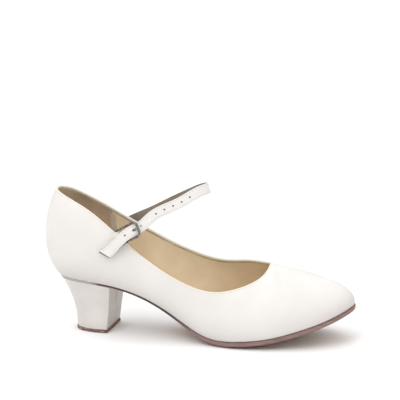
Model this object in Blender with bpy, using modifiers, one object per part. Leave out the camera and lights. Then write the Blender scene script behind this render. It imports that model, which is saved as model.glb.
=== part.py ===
"""Character shoe for the right foot: a low-cut court upper with a buckled instep strap on a flared heel.

Metres, +Z up, +X towards the toe, -Y the outer (lateral) side. The floor is z = 0 and the origin is the
middle of the heel tip's underside. The shoe is worked out from the feather line, the edge where the
upper turns under the foot, and from the walls that rise from it.
"""
import math

import bmesh
import bpy
import numpy as np
from mathutils import Matrix, Vector

# Sizes of the last
LENGTH = 0.240             # from the heel's rearmost point to the toe tip, along the floor
BALL_WIDTH = 0.074         # feather line across the ball of the foot
CAMBER = 0.0022            # the underside of the ball hangs this far below its feather line
HEEL_RISE = 0.0378         # feather line at the heel seat, above the one under the ball
TOE_SPRING = 0.0223        # feather line at the toe tip, above the one under the ball
INSTEP_HEIGHT = 0.050      # what the walls' heights follow
BACK_HEIGHT = 0.0675       # topline at the back, above the feather line

# Upper, insole and outsole
UPPER_WALL = 0.0016
LASTING_MARGIN = 0.009     # how far the upper is turned under the insole
INSOLE_THICKNESS = 0.0016
INSOLE_ROOM = 0.0011       # between its edge and the upper's inner face
SOLE_THICKNESS = 0.0032    # under the ball
SOLE_EDGE = 0.0007         # how far the sole stands out beyond the feather line there
TREAD_GROUND = 0.0006      # what is ground off the lowest part of the tread, to a flat
GAP = 0.0003               # between pieces that meet

# Heel block and its tip
HEEL_PITCH = 0.0130        # the tip's back edge lies this far in front of the seat's
TIP_LENGTH = 0.0277
TIP_WIDTH = 0.034
TIP_THICKNESS = 0.0024
TIP_LIP = 0.0004           # how far the tip stands out beyond the block
BREAST_LEAN = 0.0050       # the block's front face is this much further forward at its top
HEEL_INSET = 0.0004        # the block's top edge, inside the sole's
HEEL_FLARE = 2.1           # how fast the block spreads near its top
TIP_FULLNESS = 2.5         # 2 is a half ellipse, more is squarer

# Strap
STRAP_WIDTH = 0.0082
STRAP_THICKNESS = 0.0017
STRAP_SKIVED = 0.0007      # thickness at the end sewn to the inner quarter
STRAP_REACH = 0.0660       # the bend lies this far in front of where the strap crosses the topline
STRAP_RISE = 0.0320        # and this far above it

# Buckle, of round wire, and the tab that holds it
WIRE_RADIUS = 0.0009
BUCKLE_LENGTH = 0.0190     # between the middles of its two bars
BUCKLE_WIDTH = 0.0112      # between the middles of its two sides
BUCKLE_CORNER = 0.0032     # radius of the two front corners
BUCKLE_STAND = 0.0009      # between the quarter and the tab's fold round the rear bar
BUCKLE_BOW = 0.0024        # how far the front bar stands out from the frame's chord
BUCKLE_SLOPE = 26.0        # degrees that the frame rises towards the instep
BUCKLE_TILT = 16.0         # degrees that its upper side leans in over the foot
BUCKLE_TOE_OUT = 0.08      # how far it swings outwards for each metre towards the toe
REAR_CORNER = 0.0015       # radius of its two rear corners
PRONG_RADIUS = 0.0006
PRONG_OVERHANG = 0.0011    # the prong's tip, past the middle of the front bar
TAB_WIDTH = 0.0088
TAB_THICKNESS = 0.0009
TAB_LENGTH = 0.0180        # on the quarter, below the topline
TAB_STEP_BACK = 0.0018     # the folded layer ends this far before the one on the quarter

# Each station lies a share of LENGTH along the floor. lateral, medial and ridge_side are shares of
# BALL_WIDTH, heel of HEEL_RISE and spring of TOE_SPRING. The wall's section rises from the feather
# line to the ridge over the foot: low_out and low_up, high_out and high_drop are its two handles, as
# shares of half BALL_WIDTH, INSTEP_HEIGHT, BALL_WIDTH and INSTEP_HEIGHT.
SECTION_COLUMNS = ("along", "lateral", "medial", "heel", "spring", "ridge_along", "ridge_side", "ridge_up",
                   "low_out", "low_up", "high_out", "high_drop")
SECTIONS = (
    ("heel back", 0.048, 0.000, 0.000, 0.972, 0.000, 0.110, 0.000, 1.75, 0.46, 0.27, 0.42, 0.52),
    ("heel round", 0.064, 0.150, 0.150, 0.978, 0.000, 0.113, 0.000, 1.75, 0.40, 0.27, 0.40, 0.54),
    ("heel corner", 0.110, 0.262, 0.262, 0.982, 0.000, 0.135, 0.000, 1.73, 0.29, 0.26, 0.39, 0.58),
    ("heel seat", 0.178, 0.310, 0.310, 0.950, 0.000, 0.190, 0.000, 1.67, 0.22, 0.24, 0.40, 0.60),
    ("breast", 0.260, 0.312, 0.295, 0.870, 0.000, 0.268, 0.000, 1.60, 0.20, 0.24, 0.40, 0.58),
    ("shank", 0.360, 0.300, 0.245, 0.653, 0.000, 0.362, 0.000, 1.54, 0.24, 0.26, 0.42, 0.54),
    ("waist", 0.460, 0.345, 0.260, 0.326, 0.000, 0.460, 0.000, 1.51, 0.26, 0.28, 0.44, 0.46),
    ("joint", 0.560, 0.430, 0.360, 0.022, 0.000, 0.560, 0.010, 1.35, 0.20, 0.30, 0.42, 0.26),
    ("ball", 0.660, 0.490, 0.450, 0.000, 0.000, 0.655, 0.020, 1.12, 0.14, 0.30, 0.34, 0.06),
    ("tread front", 0.760, 0.470, 0.470, 0.000, 0.140, 0.742, 0.030, 0.952, 0.10, 0.28, 0.28, 0.00),
    ("toe rear", 0.855, 0.390, 0.430, 0.000, 0.410, 0.815, 0.040, 0.754, 0.08, 0.24, 0.27, 0.00),
    ("toe round", 0.930, 0.275, 0.345, 0.000, 0.680, 0.866, 0.050, 0.571, 0.06, 0.20, 0.23, 0.00),
    ("toe corner", 0.980, 0.125, 0.222, 0.000, 0.905, 0.891, 0.050, 0.436, 0.05, 0.18, 0.19, 0.00),
    ("toe tip", 1.000, -0.050, 0.050, 0.000, 1.000, 0.898, 0.050, 0.386, 0.05, 0.18, 0.17, 0.00),
)

# How much of CAMBER the underside has at a share of LENGTH: none under the heel and the waist
CAMBER_FROM, CAMBER_FULL = 0.40, 0.62

# The topline's height above the feather line, in shares of BACK_HEIGHT. It meets the ridge at THROAT.
TOPLINE_COLUMNS = ("along", "lateral_up", "medial_up")
TOPLINE = (
    ("back", 0.048, 1.000, 1.000),
    ("back side", 0.105, 0.905, 0.885),
    ("quarter", 0.178, 0.793, 0.760),
    ("ankle", 0.260, 0.627, 0.640),
    ("tab front", 0.340, 0.496, 0.585),
    ("arch", 0.440, 0.451, 0.590),
    ("low", 0.540, 0.498, 0.670),
    ("vamp side", 0.620, 0.531, 0.725),
    ("vamp front", 0.700, 0.587, 0.730),
    ("throat side", 0.738, 0.640, 0.715),
)
THROAT = 0.757             # share of the length, where the topline crosses the ridge
WALL_SPACING = 0.06        # what the whole wall counts for, along the topline's knots
RIDGE_END = 0.005          # the ridge keeps its slope over this last part of the feather line
LEVEL_DROP = 0.003         # high_drop below which the wall starts to leave the ridge along its slope

# The sole's thickness as a share of SOLE_THICKNESS, and its edge as a share of SOLE_EDGE
SOLE_COLUMNS = ("along", "thickness", "edge")
SOLE = (
    ("seat back", 0.048, 0.40, -0.60),
    ("seat front", 0.230, 0.40, -0.60),
    ("breast", 0.270, 0.44, 0.00),
    ("waist", 0.440, 0.58, 0.20),
    ("joint", 0.560, 0.90, 0.80),
    ("ball", 0.660, 1.00, 1.00),
    ("toe", 1.000, 1.00, 1.00),
)

# The strap's middle from the inner quarter over the instep to the buckle. reach and rise are shares of
# STRAP_REACH and STRAP_RISE from where it crosses the topline, side a share of BALL_WIDTH. The width
# leans back from upright by lean degrees and its upper edge leans in over the foot by tilt degrees.
STRAP_COLUMNS = ("reach", "rise", "side", "lean", "tilt")
STRAP = (
    ("inner leg low", 0.19, 0.18, 0.336, 26.0, 6.0),
    ("inner leg", 0.50, 0.515, 0.268, 26.0, 6.0),
    ("inner leg high", 0.75, 0.78, 0.185, 25.0, 4.0),
    ("inner turn", 0.91, 0.935, 0.115, 20.0, 2.0),
    ("bend", 1.000, 1.000, 0.000, 15.0, 0.0),
    ("outer turn", 0.935, 0.965, -0.105, 20.0, 2.0),
    ("outer leg high", 0.72, 0.72, -0.210, 25.0, 8.0),
    ("outer leg", 0.44, 0.44, -0.322, 26.0, 12.0),
)
STRAP_CROSSING = 0.266     # share of the length, where the strap crosses the inner topline
STRAP_ROOT = 0.011         # length sewn to the outside of the inner quarter
STRAP_SLOPE = 26.0         # degrees, the direction of the sewn end
TAB_CROSSING = 0.281       # share of the length, where the tab crosses the outer topline
TAIL_SLOPE = 38.0          # degrees, the direction of the tab and the strap's tail
TAIL_LENGTH = 0.0157       # of the strap, past the rear bar
TAIL_LOW = 0.0033          # the tail lies this far below the buckle's middle line
TAIL_ROOM = 0.0009         # between the tab and the tail over it
TAIL_CUT = 26.0            # degrees that its end is cut away from square, the upper edge longer
CUT_FADES = 0.008          # the strap's sections turn to that cut over this length
TAIL_MIDDLE = 0.55         # share of TAIL_LENGTH where the route has a point of its own
TAIL_TILT = 10.0           # degrees that the tail's upper edge leans in over the foot
TAIL_LIES = 0.8            # how far the tail then turns to lie flat on the quarter: 1 is fully

# The strap's middle through the buckle, from the front bar to the rear bar: a share of BUCKLE_LENGTH, a
# share of TAIL_LOW, and how its height is shared between STRAP_OVER and STRAP_UNDER
THROUGH_BUCKLE = (
    ("front bar", 1.00, -0.14, 0.00, 1.00),
    ("diving", 0.82, -0.06, 0.30, 0.70),
    ("over the prong", 0.56, 0.16, 0.84, 0.16),
    ("level", 0.28, 0.54, 1.00, 0.00),
    ("rear bar", 0.00, 1.00, 1.00, 0.00),
)
HOLE_CLEARANCE = 0.0005    # of the strap's hole, round the prong that comes up through it
HOLE_FROM = 0.45           # share of BUCKLE_LENGTH where the prong starts to come up to the hole

PRONG_LEAVES = 0.08        # share of the prong's way where its hook round the rear bar ends

# The prong's height along the buckle: a share of its way to its tip, and what its height has of the
# height over the rear bar and of the height on the front bar
PRONG = (
    ("rear bar", 0.00, 1.00, 0.00),
    ("level", 0.26, 0.95, 0.00),
    ("low", 0.50, 0.50, 0.00),
    ("foot of the rise", 0.64, 0.50, 0.00),
    ("through the hole", 0.74, 0.35, 0.28),
    ("over the strap", 0.84, 0.00, 0.76),
    ("bar", 0.94, 0.00, 0.99),
    ("tip", 1.00, 0.00, 1.00),
)

# Numbers of steps in the faceted surfaces
TOPLINE_STEPS = 40
RIDGE_STEPS = 12
WALL_STEPS = 9
BOTTOM_STEPS = 44
RUNG_STEPS = 6
THROAT_FAN = 0.35          # the wall's columns at the throat stand this share further on, to the toe tip
MARGIN_ROWS = (1.0, 0.45)  # rows of the margin that is turned under
SHARP_ANGLE = 40.0         # degrees, between faces that meet in a sharp edge
HEEL_STEPS = 14
BLOCK_STEPS = 8
STRAP_STEPS = 84
TAB_STEPS = 72
CORNER_STEPS = 6
PRONG_STEPS = 16


def table(columns, rows):
    """The rows' numbers by column name; each row starts with its own name."""
    return {name: np.array([row[i + 1] for row in rows], float) for i, name in enumerate(columns)}


class Spline:
    """A cubic curve through values at knots, closed where it has a period."""

    def __init__(self, knots, values, period=None):
        self.knots = np.asarray(knots, float)
        self.values = np.asarray(values, float)
        self.period = period
        count = len(self.knots)
        ends = self.knots if period is None else np.append(self.knots, self.knots[0] + period)
        gaps = np.diff(ends)
        system = np.zeros((count, count))
        right = np.zeros_like(self.values)
        for i in range(count):
            if period is None and i in (0, count - 1):
                system[i, i] = 1.0
                continue
            before, after, nxt = gaps[i - 1], gaps[i], (i + 1) % count
            system[i, i - 1] += before
            system[i, i] += 2 * (before + after)
            system[i, nxt] += after
            rise = (self.values[nxt] - self.values[i]) / after
            right[i] = 6 * (rise - (self.values[i] - self.values[i - 1]) / before)
        self.curvature = np.linalg.solve(system, right)
        self.gaps = gaps

    def at(self, where):
        where = np.asarray(where, float)
        if self.period is not None:
            where = np.mod(where - self.knots[0], self.period) + self.knots[0]
        i = np.clip(np.searchsorted(self.knots, where, side="right") - 1, 0, len(self.gaps) - 1)
        j = (i + 1) % len(self.knots)
        gap = self.gaps[i]
        b = (where - self.knots[i]) / gap
        if self.values.ndim > 1:
            b, gap = b[..., None], gap[..., None]
        a = 1 - b
        bend = (a ** 3 - a) * self.curvature[i] + (b ** 3 - b) * self.curvature[j]
        return a * self.values[i] + b * self.values[j] + bend * gap * gap / 6


def unit(vectors):
    vectors = np.asarray(vectors, float)
    return vectors / np.linalg.norm(vectors, axis=-1, keepdims=True)


class Last:
    """The outside of the upper: a place on it is (k, w, side).

    k runs along the feather line from the back of the heel (0) to the toe tip (half), w from the
    feather line (0) up the wall to the ridge (1), and side is -1 on the lateral wall, 1 on the medial.
    """

    def __init__(self):
        t = table(SECTION_COLUMNS, SECTIONS)
        x = t["along"] * LENGTH
        lateral_y, medial_y = -t["lateral"] * BALL_WIDTH, t["medial"] * BALL_WIDTH
        lateral_step = np.hypot(np.diff(x), np.diff(lateral_y))
        medial_step = np.hypot(np.diff(x), np.diff(medial_y))
        knots = np.concatenate([[0.0], np.cumsum((lateral_step + medial_step) / 2)])
        self.half = knots[-1]
        floor = SOLE_THICKNESS + GAP + CAMBER
        z = floor + t["heel"] * HEEL_RISE + t["spring"] * TOE_SPRING
        shared = np.column_stack([
            z, t["ridge_along"] * LENGTH, t["ridge_side"] * BALL_WIDTH, z + t["ridge_up"] * INSTEP_HEIGHT,
            t["low_out"] * BALL_WIDTH / 2, t["low_up"] * INSTEP_HEIGHT,
            t["high_out"] * BALL_WIDTH, t["high_drop"] * INSTEP_HEIGHT])
        lateral = np.column_stack([x, lateral_y, shared])
        medial = np.column_stack([x, medial_y, shared])
        self.around = Spline(np.concatenate([knots, 2 * self.half - knots[-2:0:-1]]),
                             np.vstack([lateral, medial[-2:0:-1]]), 2 * self.half)
        self.fine_k = np.linspace(0, self.half, 1200)
        fine = self.around.at(self.fine_k)
        self.fine_x, self.fine_z = np.maximum.accumulate(fine[:, 0]), fine[:, 2]
        self.fine_lateral = fine[:, 1]
        self.fine_medial = self.around.at(2 * self.half - self.fine_k)[:, 1]

    def k_along(self, x):
        """The place along the feather line that is x from the heel's rearmost point."""
        return np.interp(x, self.fine_x, self.fine_k)

    def bottom(self, x, y):
        """Height of the underside: the feather line's, and rounded down between its two sides."""
        lateral = np.interp(x, self.fine_x, self.fine_lateral)
        medial = np.interp(x, self.fine_x, self.fine_medial)
        between = np.clip((y - lateral) * (medial - y), 0, None) / (BALL_WIDTH / 2) ** 2
        share = np.clip((x / LENGTH - CAMBER_FROM) / (CAMBER_FULL - CAMBER_FROM), 0, 1)
        hang = CAMBER * share * share * (3 - 2 * share) * between
        return np.interp(x, self.fine_x, self.fine_z) - hang

    def row(self, k, side):
        k = np.atleast_1d(np.asarray(k, float))
        return self.around.at(k if side < 0 else 2 * self.half - k)

    def feather(self, k, side, out=0.0):
        """The feather line, moved outwards over the floor by out."""
        step = 1e-5
        base = self.row(k, side)[:, :3]
        ahead, behind = self.row(np.asarray(k) + step, side), self.row(np.asarray(k) - step, side)
        along = unit(ahead[:, :2] - behind[:, :2])
        outward = np.column_stack([-side * along[:, 1], side * along[:, 0]])
        base[:, :2] += outward * np.reshape(out, (-1, 1))
        return base

    def at(self, k, w, side):
        row = self.row(k, side)
        w = np.atleast_1d(np.asarray(w, float))[:, None]
        base, ridge = row[:, :3], row[:, 3:6]
        step = 1e-3
        middle = np.clip(np.atleast_1d(k), 2 * step, self.half - RIDGE_END)
        ahead, behind = self.around.at(middle + step), self.around.at(middle - step)
        slope = (ahead[:, 5] - behind[:, 5]) / (ahead[:, 3] - behind[:, 3])
        out = unit(base[:, :2] - ridge[:, :2])
        low_out, low_up, high_out, drop = row[:, 6], row[:, 7], row[:, 8], np.maximum(row[:, 9], 0)
        follow = out[:, 0] * high_out * slope * np.clip(1 - drop / LEVEL_DROP, 0, 1)
        low = base + np.column_stack([out * low_out[:, None], low_up])
        high = ridge + np.column_stack([out * high_out[:, None], follow - drop])
        a = 1 - w
        return a ** 3 * base + 3 * a * a * w * low + 3 * a * w * w * high + w ** 3 * ridge

    def normal(self, k, w, side):
        step = 1e-4
        k, w = np.atleast_1d(k), np.atleast_1d(w)
        along = self.at(k + step, w, side) - self.at(k - step, w, side)
        up = self.at(k, w + step, side) - self.at(k, w - step, side)
        return unit(np.cross(along, up) * -side)

    def w_at(self, k, z, side):
        """How far up the wall height z is, at k."""
        low, high = 0.0, 1.0
        for _ in range(40):
            middle = (low + high) / 2
            if self.at(k, middle, side)[0, 2] < z:
                low = middle
            else:
                high = middle
        return (low + high) / 2

    def place(self, x, z, side):
        """The (k, w) of the wall's point that is at x and z."""
        k = float(self.k_along(x))
        w = 0.5
        for _ in range(12):
            w = self.w_at(k, z, side)
            k = k + x - float(self.at(k, w, side)[0, 0])
        return k, w

    def topline(self, side, steps):
        """(k, w) along the topline from the back of the heel to the throat.

        The line is repeated as its own mirror image, so it crosses the middle squarely at both ends.
        """
        t = table(TOPLINE_COLUMNS, TOPLINE)
        ups = t["lateral_up"] if side < 0 else t["medial_up"]
        k = np.array([float(self.k_along(x)) for x in t["along"] * LENGTH])
        k[0] = 0.0
        base = self.row(k, side)[:, 2]
        w = np.array([self.w_at(k[i], base[i] + ups[i] * BACK_HEIGHT, side) for i in range(len(k))])
        k = np.append(k, float(self.k_along(THROAT * LENGTH)))
        w = np.append(w, 1.0)
        knots = np.concatenate([[0.0], np.cumsum(np.hypot(np.diff(k), np.diff(w) * WALL_SPACING))])
        end = knots[-1]
        whole_k = np.concatenate([k, k[-2::-1], -k[1:], -k[-2:0:-1]])
        whole_w = np.concatenate([w, 2 - w[-2::-1], 2 - w[1:], w[-2:0:-1]])
        whole_knots = np.concatenate([knots, 2 * end - knots[-2::-1], 2 * end + knots[1:],
                                      4 * end - knots[-2:0:-1]])
        whole = Spline(whole_knots, np.column_stack([whole_k, whole_w]), 4 * end)
        line = whole.at(np.linspace(0, end, steps + 1))
        return np.clip(line[:, 0], 0, None), np.clip(line[:, 1], 0, 1)

    def topline_point(self, x, side):
        """Where the topline is x from the heel's rearmost point."""
        k, w = self.topline(side, 200)
        points = self.at(k, w, side)
        i = int(np.argmin(abs(points[:, 0] - x)))
        return points[i]


LAST = Last()
SEAT_BACK = float(LAST.feather(0.0, -1)[0, 0])
TIP_BACK = SEAT_BACK + HEEL_PITCH
TIP_FRONT = TIP_BACK + TIP_LENGTH
BREAST = TIP_FRONT + BREAST_LEAN
ORIGIN = np.array([(TIP_BACK + TIP_FRONT) / 2, 0.0, 0.0])


def sole_under(x, y):
    """Height of the sole's underside: flat where the tread is ground."""
    t = table(SOLE_COLUMNS, SOLE)
    thickness = SOLE_THICKNESS * np.interp(x / LENGTH, t["along"], t["thickness"])
    ground = TREAD_GROUND * np.interp(x / LENGTH, [CAMBER_FROM, CAMBER_FULL], [0, 1])
    return np.maximum(LAST.bottom(x, y) - GAP - thickness - ground, 0.0)


def sole_edge(k):
    t = table(SOLE_COLUMNS, SOLE)
    x = LAST.row(k, -1)[:, 0]
    return SOLE_EDGE * np.interp(x / LENGTH, t["along"], t["edge"])


def clear_scene():
    for thing in list(bpy.data.objects):
        bpy.data.objects.remove(thing)


def collection(name):
    made = bpy.data.collections.new(name)
    bpy.context.scene.collection.children.link(made)
    return made


def material(name, colour, roughness, metallic=0.0):
    made = bpy.data.materials.new(name)
    made.use_nodes = True
    shader = made.node_tree.nodes["Principled BSDF"]
    shader.inputs["Base Color"].default_value = (*colour, 1.0)
    shader.inputs["Roughness"].default_value = roughness
    shader.inputs["Metallic"].default_value = metallic
    return made


def solid_from_grids(name, grids, look, group):
    """One object from grids of points whose shared edges are merged. A grid is rows of columns."""
    shape = bmesh.new()
    for grid in grids:
        grid = np.asarray(grid) - ORIGIN
        rows = [[shape.verts.new(point) for point in line] for line in grid]
        for above, below in zip(rows[1:], rows):
            for i in range(len(above) - 1):
                shape.faces.new((below[i], below[i + 1], above[i + 1], above[i]))
    bmesh.ops.remove_doubles(shape, verts=shape.verts, dist=2e-6)
    bmesh.ops.recalc_face_normals(shape, faces=shape.faces)
    mesh = bpy.data.meshes.new(name)
    shape.to_mesh(mesh)
    shape.free()
    mesh.shade_smooth()
    mesh.set_sharp_from_angle(angle=math.radians(SHARP_ANGLE))
    made = bpy.data.objects.new(name, mesh)
    made.data.materials.append(look)
    group.objects.link(made)
    return made


def layered_solid(name, layers, look, group):
    """A closed solid through layers, top first. A layer is a grid: rungs from the back to the front, each
    from the lateral edge to the medial one. The grids of the first and the last layer close it."""
    lateral = np.array([layer[:, 0] for layer in layers])
    medial = np.array([layer[:, -1] for layer in layers])
    front = np.array([layer[-1] for layer in layers])
    return solid_from_grids(name, [lateral, medial, front, layers[0], layers[-1]], look, group)


def build_upper(look, group):
    """The upper: both walls up to the topline and over the toe, and the margin turned under."""
    throat_k = float(LAST.k_along(THROAT * LENGTH))
    throat_k += THROAT_FAN * (LAST.half - throat_k)
    rise = np.linspace(0, 1, WALL_STEPS + 1)
    grids = []
    for side in (-1, 1):
        line_k, line_w = LAST.topline(side, TOPLINE_STEPS)
        ridge_k = np.linspace(line_k[-1], LAST.half, RIDGE_STEPS + 1)[1:]
        top_k = np.concatenate([line_k, ridge_k])
        top_w = np.concatenate([line_w, np.ones(RIDGE_STEPS)])
        base_k = np.concatenate([np.linspace(0, throat_k, TOPLINE_STEPS + 1),
                                 np.linspace(throat_k, LAST.half, RIDGE_STEPS + 1)[1:]])
        wall = [LAST.at(base_k + (top_k - base_k) * r, top_w * r, side) for r in rise]
        turned = []
        for share in MARGIN_ROWS:
            line = LAST.feather(base_k, side, -LASTING_MARGIN * share)
            line[:, 2] = LAST.bottom(line[:, 0], line[:, 1])
            turned.append(line)
        grids.append(turned + wall)
    upper = solid_from_grids("upper", grids, look, group)
    open_toe_corner(upper)
    shell = upper.modifiers.new("wall", "SOLIDIFY")
    shell.thickness = UPPER_WALL
    shell.offset = -1.0
    shell.use_even_offset = True
    return upper


def open_toe_corner(upper):
    """The ridge ends at a corner of only two faces: each is split, so four faces meet there."""
    shape = bmesh.new()
    shape.from_mesh(upper.data)
    end = LAST.at(LAST.half, 1.0, -1)[0] - ORIGIN
    corner = min(shape.verts, key=lambda v: (v.co - Vector(end)).length)
    for face in list(corner.link_faces):
        opposite = [v for v in face.verts if not any(v in e.verts for e in corner.link_edges) and v != corner]
        bmesh.utils.face_split(face, corner, opposite[0])
    shape.to_mesh(upper.data)
    shape.free()


def ladder(k, out, steps, height):
    """A layer over the bottom: a rung at each k, at the heights that height(x, y) gives."""
    lateral, medial = LAST.feather(k, -1, out), LAST.feather(k, 1, out)
    share = np.linspace(0, 1, steps + 1)[None, :, None]
    layer = lateral[:, None, :] * (1 - share) + medial[:, None, :] * share
    layer[:, :, 2] = height(layer[:, :, 0], layer[:, :, 1])
    return layer


def build_insole(look, group):
    k = np.linspace(0, LAST.half, BOTTOM_STEPS + 1)
    inset = -(UPPER_WALL + INSOLE_ROOM)
    lift = UPPER_WALL + 2 * GAP
    under = ladder(k, inset, RUNG_STEPS, lambda x, y: LAST.bottom(x, y) + lift)
    over = under + [0, 0, INSOLE_THICKNESS]
    return layered_solid("insole", [over, under], look, group)


def build_outsole(look, group):
    k = np.linspace(0, LAST.half, BOTTOM_STEPS + 1)
    edge = sole_edge(k)
    over = ladder(k, edge, RUNG_STEPS, lambda x, y: LAST.bottom(x, y) - GAP)
    under = ladder(k, edge - SOLE_EDGE / 2, RUNG_STEPS, sole_under)
    return layered_solid("outsole", [over, under], look, group)


def tip_outline(z, grow=0.0):
    """The tip's outline as rungs at height z: a half superellipse from the back to the front corners."""
    turn = np.linspace(0, math.pi / 2, HEEL_STEPS + 1)
    x = TIP_FRONT + grow - (TIP_LENGTH + 2 * grow) * np.cos(turn) ** (2 / TIP_FULLNESS)
    y = (TIP_WIDTH / 2 + grow) * np.sin(turn) ** (2 / TIP_FULLNESS)
    return np.stack([np.column_stack([x, side * y, np.full_like(x, z)]) for side in (-1, 1)], axis=1)


def build_heel(look, group):
    share = np.linspace(0, 1, HEEL_STEPS + 1)
    k = share * float(LAST.k_along(BREAST))
    edge = sole_edge(k) - HEEL_INSET
    top = ladder(k, edge, 1, sole_under)
    top[-1, :, 0] = BREAST
    top[-1, :, 2] = sole_under(BREAST, 0.0)
    top[:, :, 2] -= GAP
    foot = tip_outline(TIP_THICKNESS + GAP)
    layers = []
    for down in np.linspace(0, 1, BLOCK_STEPS + 1):
        flare = 1 - (1 - down) ** HEEL_FLARE
        forward = flare + (down - flare) * share[:, None] ** 2
        layer = top + (foot - top) * down
        layer[:, :, 0] = top[:, :, 0] + (foot - top)[:, :, 0] * forward
        layer[:, :, 1] = top[:, :, 1] + (foot - top)[:, :, 1] * flare
        layers.append(layer)
    return layered_solid("heel", layers, look, group)


def build_heel_tip(look, group):
    layers = [tip_outline(TIP_THICKNESS, TIP_LIP), tip_outline(0.0, TIP_LIP)]
    return layered_solid("heel_tip", layers, look, group)


def width_direction(lean, tilt):
    """The direction across a strap: upright, leaned back by lean and in over the foot by tilt."""
    lean, tilt = math.radians(lean), math.radians(tilt)
    return np.array([-math.sin(lean) * math.cos(tilt), math.sin(tilt), math.cos(lean) * math.cos(tilt)])


def band(name, points, widths, thicknesses, width, steps, look, group, cut=0.0):
    """A flat strip along a smooth line through points; widths are the directions across it.

    Its last end is cut away from square by cut degrees.
    """
    points, widths = np.array(points), np.array(widths)
    knots = np.concatenate([[0.0], np.cumsum(np.linalg.norm(np.diff(points, axis=0), axis=1))])
    where = np.linspace(0, knots[-1], steps + 1)
    centre = Spline(knots, points).at(where)
    along = unit(np.gradient(centre, axis=0))
    across = np.array([np.interp(where, knots, widths[:, i]) for i in range(3)]).T
    across = unit(across - along * np.sum(across * along, axis=1, keepdims=True))
    facing = np.cross(along, across)
    thick = np.interp(where, knots, thicknesses)[:, None] / 2
    half = width / 2
    slant = math.tan(math.radians(cut)) * np.clip(1 - (knots[-1] - where) / CUT_FADES, 0, 1)[:, None]
    aside = (across + along * slant) * half
    corners = [centre + aside * a + facing * thick * b for a, b in ((1, 1), (1, -1), (-1, -1), (-1, 1))]
    tube = np.array(corners + corners[:1])
    first = np.array([[corners[0][0], corners[1][0]], [corners[3][0], corners[2][0]]])
    last = np.array([[corners[0][-1], corners[1][-1]], [corners[3][-1], corners[2][-1]]])
    return solid_from_grids(name, [tube, first, last], look, group)


def tab_place(down):
    """A point of the outer quarter on the tab's line, down from the topline, and its outward normal."""
    start = LAST.topline_point(TAB_CROSSING * LENGTH, -1)
    slope = math.radians(TAIL_SLOPE)
    k, w = LAST.place(start[0] - down * math.cos(slope), start[2] - down * math.sin(slope), -1)
    return LAST.at(k, w, -1)[0], LAST.normal(k, w, -1)[0]


class BuckleAxes:
    """The buckle's own directions: u from the rear bar to the front bar, v up across it, n outwards."""

    def __init__(self):
        self.v = width_direction(BUCKLE_SLOPE, BUCKLE_TILT)
        slope = math.radians(BUCKLE_SLOPE)
        lead = np.array([math.cos(slope), -BUCKLE_TOE_OUT, math.sin(slope)])
        self.u = unit(lead - self.v * np.dot(lead, self.v))
        self.n = np.cross(self.u, self.v)
        on_wall, normal = tab_place(0.0)
        self.middle = on_wall + normal * (WIRE_RADIUS + GAP + TAB_THICKNESS + BUCKLE_STAND)

    def at(self, u, v, n):
        return self.middle + self.u * u + self.v * v + self.n * n


AXES = BuckleAxes()
TAB_OUTSIDE = WIRE_RADIUS + GAP + TAB_THICKNESS
PRONG_TURN = WIRE_RADIUS + GAP + PRONG_RADIUS
STRAP_OVER = max(TAB_OUTSIDE, PRONG_TURN + PRONG_RADIUS) + GAP + STRAP_THICKNESS / 2
STRAP_UNDER = BUCKLE_BOW - WIRE_RADIUS - 2 * GAP - STRAP_THICKNESS / 2
PRONG_ON_BAR = BUCKLE_BOW + WIRE_RADIUS + GAP + PRONG_RADIUS


def strap_route():
    """Middle points, directions across and thicknesses, from the inner quarter to the tail's end."""
    crossing = LAST.topline_point(STRAP_CROSSING * LENGTH, 1)
    slope = math.radians(STRAP_SLOPE)
    points, widths, thicknesses = [], [], []
    for down, thickness in ((STRAP_ROOT, STRAP_SKIVED), (STRAP_ROOT / 2, None), (0.0, STRAP_THICKNESS)):
        thickness = thickness or (STRAP_SKIVED + STRAP_THICKNESS) / 2
        x, z = crossing[0] - down * math.cos(slope), crossing[2] - down * math.sin(slope)
        k, w = LAST.place(x, z, 1)
        normal = LAST.normal(k, w, 1)[0]
        points.append(LAST.at(k, w, 1)[0] + normal * (2 * GAP + thickness / 2))
        upright = width_direction(STRAP_SLOPE, 0.0)
        widths.append(unit(upright - normal * np.dot(upright, normal)))
        thicknesses.append(thickness)
    t = table(STRAP_COLUMNS, STRAP)
    for i in range(len(STRAP)):
        points.append([crossing[0] + t["reach"][i] * STRAP_REACH, t["side"][i] * BALL_WIDTH,
                       crossing[2] + t["rise"][i] * STRAP_RISE])
        widths.append(width_direction(t["lean"][i], t["tilt"][i]))
        thicknesses.append(STRAP_THICKNESS)
    for _, along, low, over, under in THROUGH_BUCKLE:
        points.append(AXES.at(along * BUCKLE_LENGTH, -low * TAIL_LOW, over * STRAP_OVER + under * STRAP_UNDER))
        widths.append(AXES.v)
        thicknesses.append(STRAP_THICKNESS)
    lift = 2 * TAB_THICKNESS + 2 * GAP + TAIL_ROOM + STRAP_THICKNESS / 2
    for down in (TAIL_LENGTH * TAIL_MIDDLE, TAIL_LENGTH):
        on_wall, normal = tab_place(down)
        across = width_direction(TAIL_SLOPE, TAIL_TILT)
        across = unit(across - normal * np.dot(across, normal) * TAIL_LIES)
        points.append(on_wall + normal * lift - across * TAIL_LOW)
        widths.append(across)
        thicknesses.append(STRAP_THICKNESS)
    return points, widths, thicknesses


def cutter(name, shape, middle, directions, group):
    """A cutter with its own X, Y and Z along directions."""
    mesh = bpy.data.meshes.new(name)
    shape.to_mesh(mesh)
    shape.free()
    made = bpy.data.objects.new(name, mesh)
    turn = Matrix([[*row] for row in np.array(directions).T]).to_4x4()
    made.matrix_world = Matrix.Translation(Vector(middle - ORIGIN)) @ turn
    group.objects.link(made)
    return made


def cut(target, tool):
    tool.hide_render = True
    tool.display_type = "WIRE"
    step = target.modifiers.new(tool.name, "BOOLEAN")
    step.operation = "DIFFERENCE"
    step.object = tool


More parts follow.
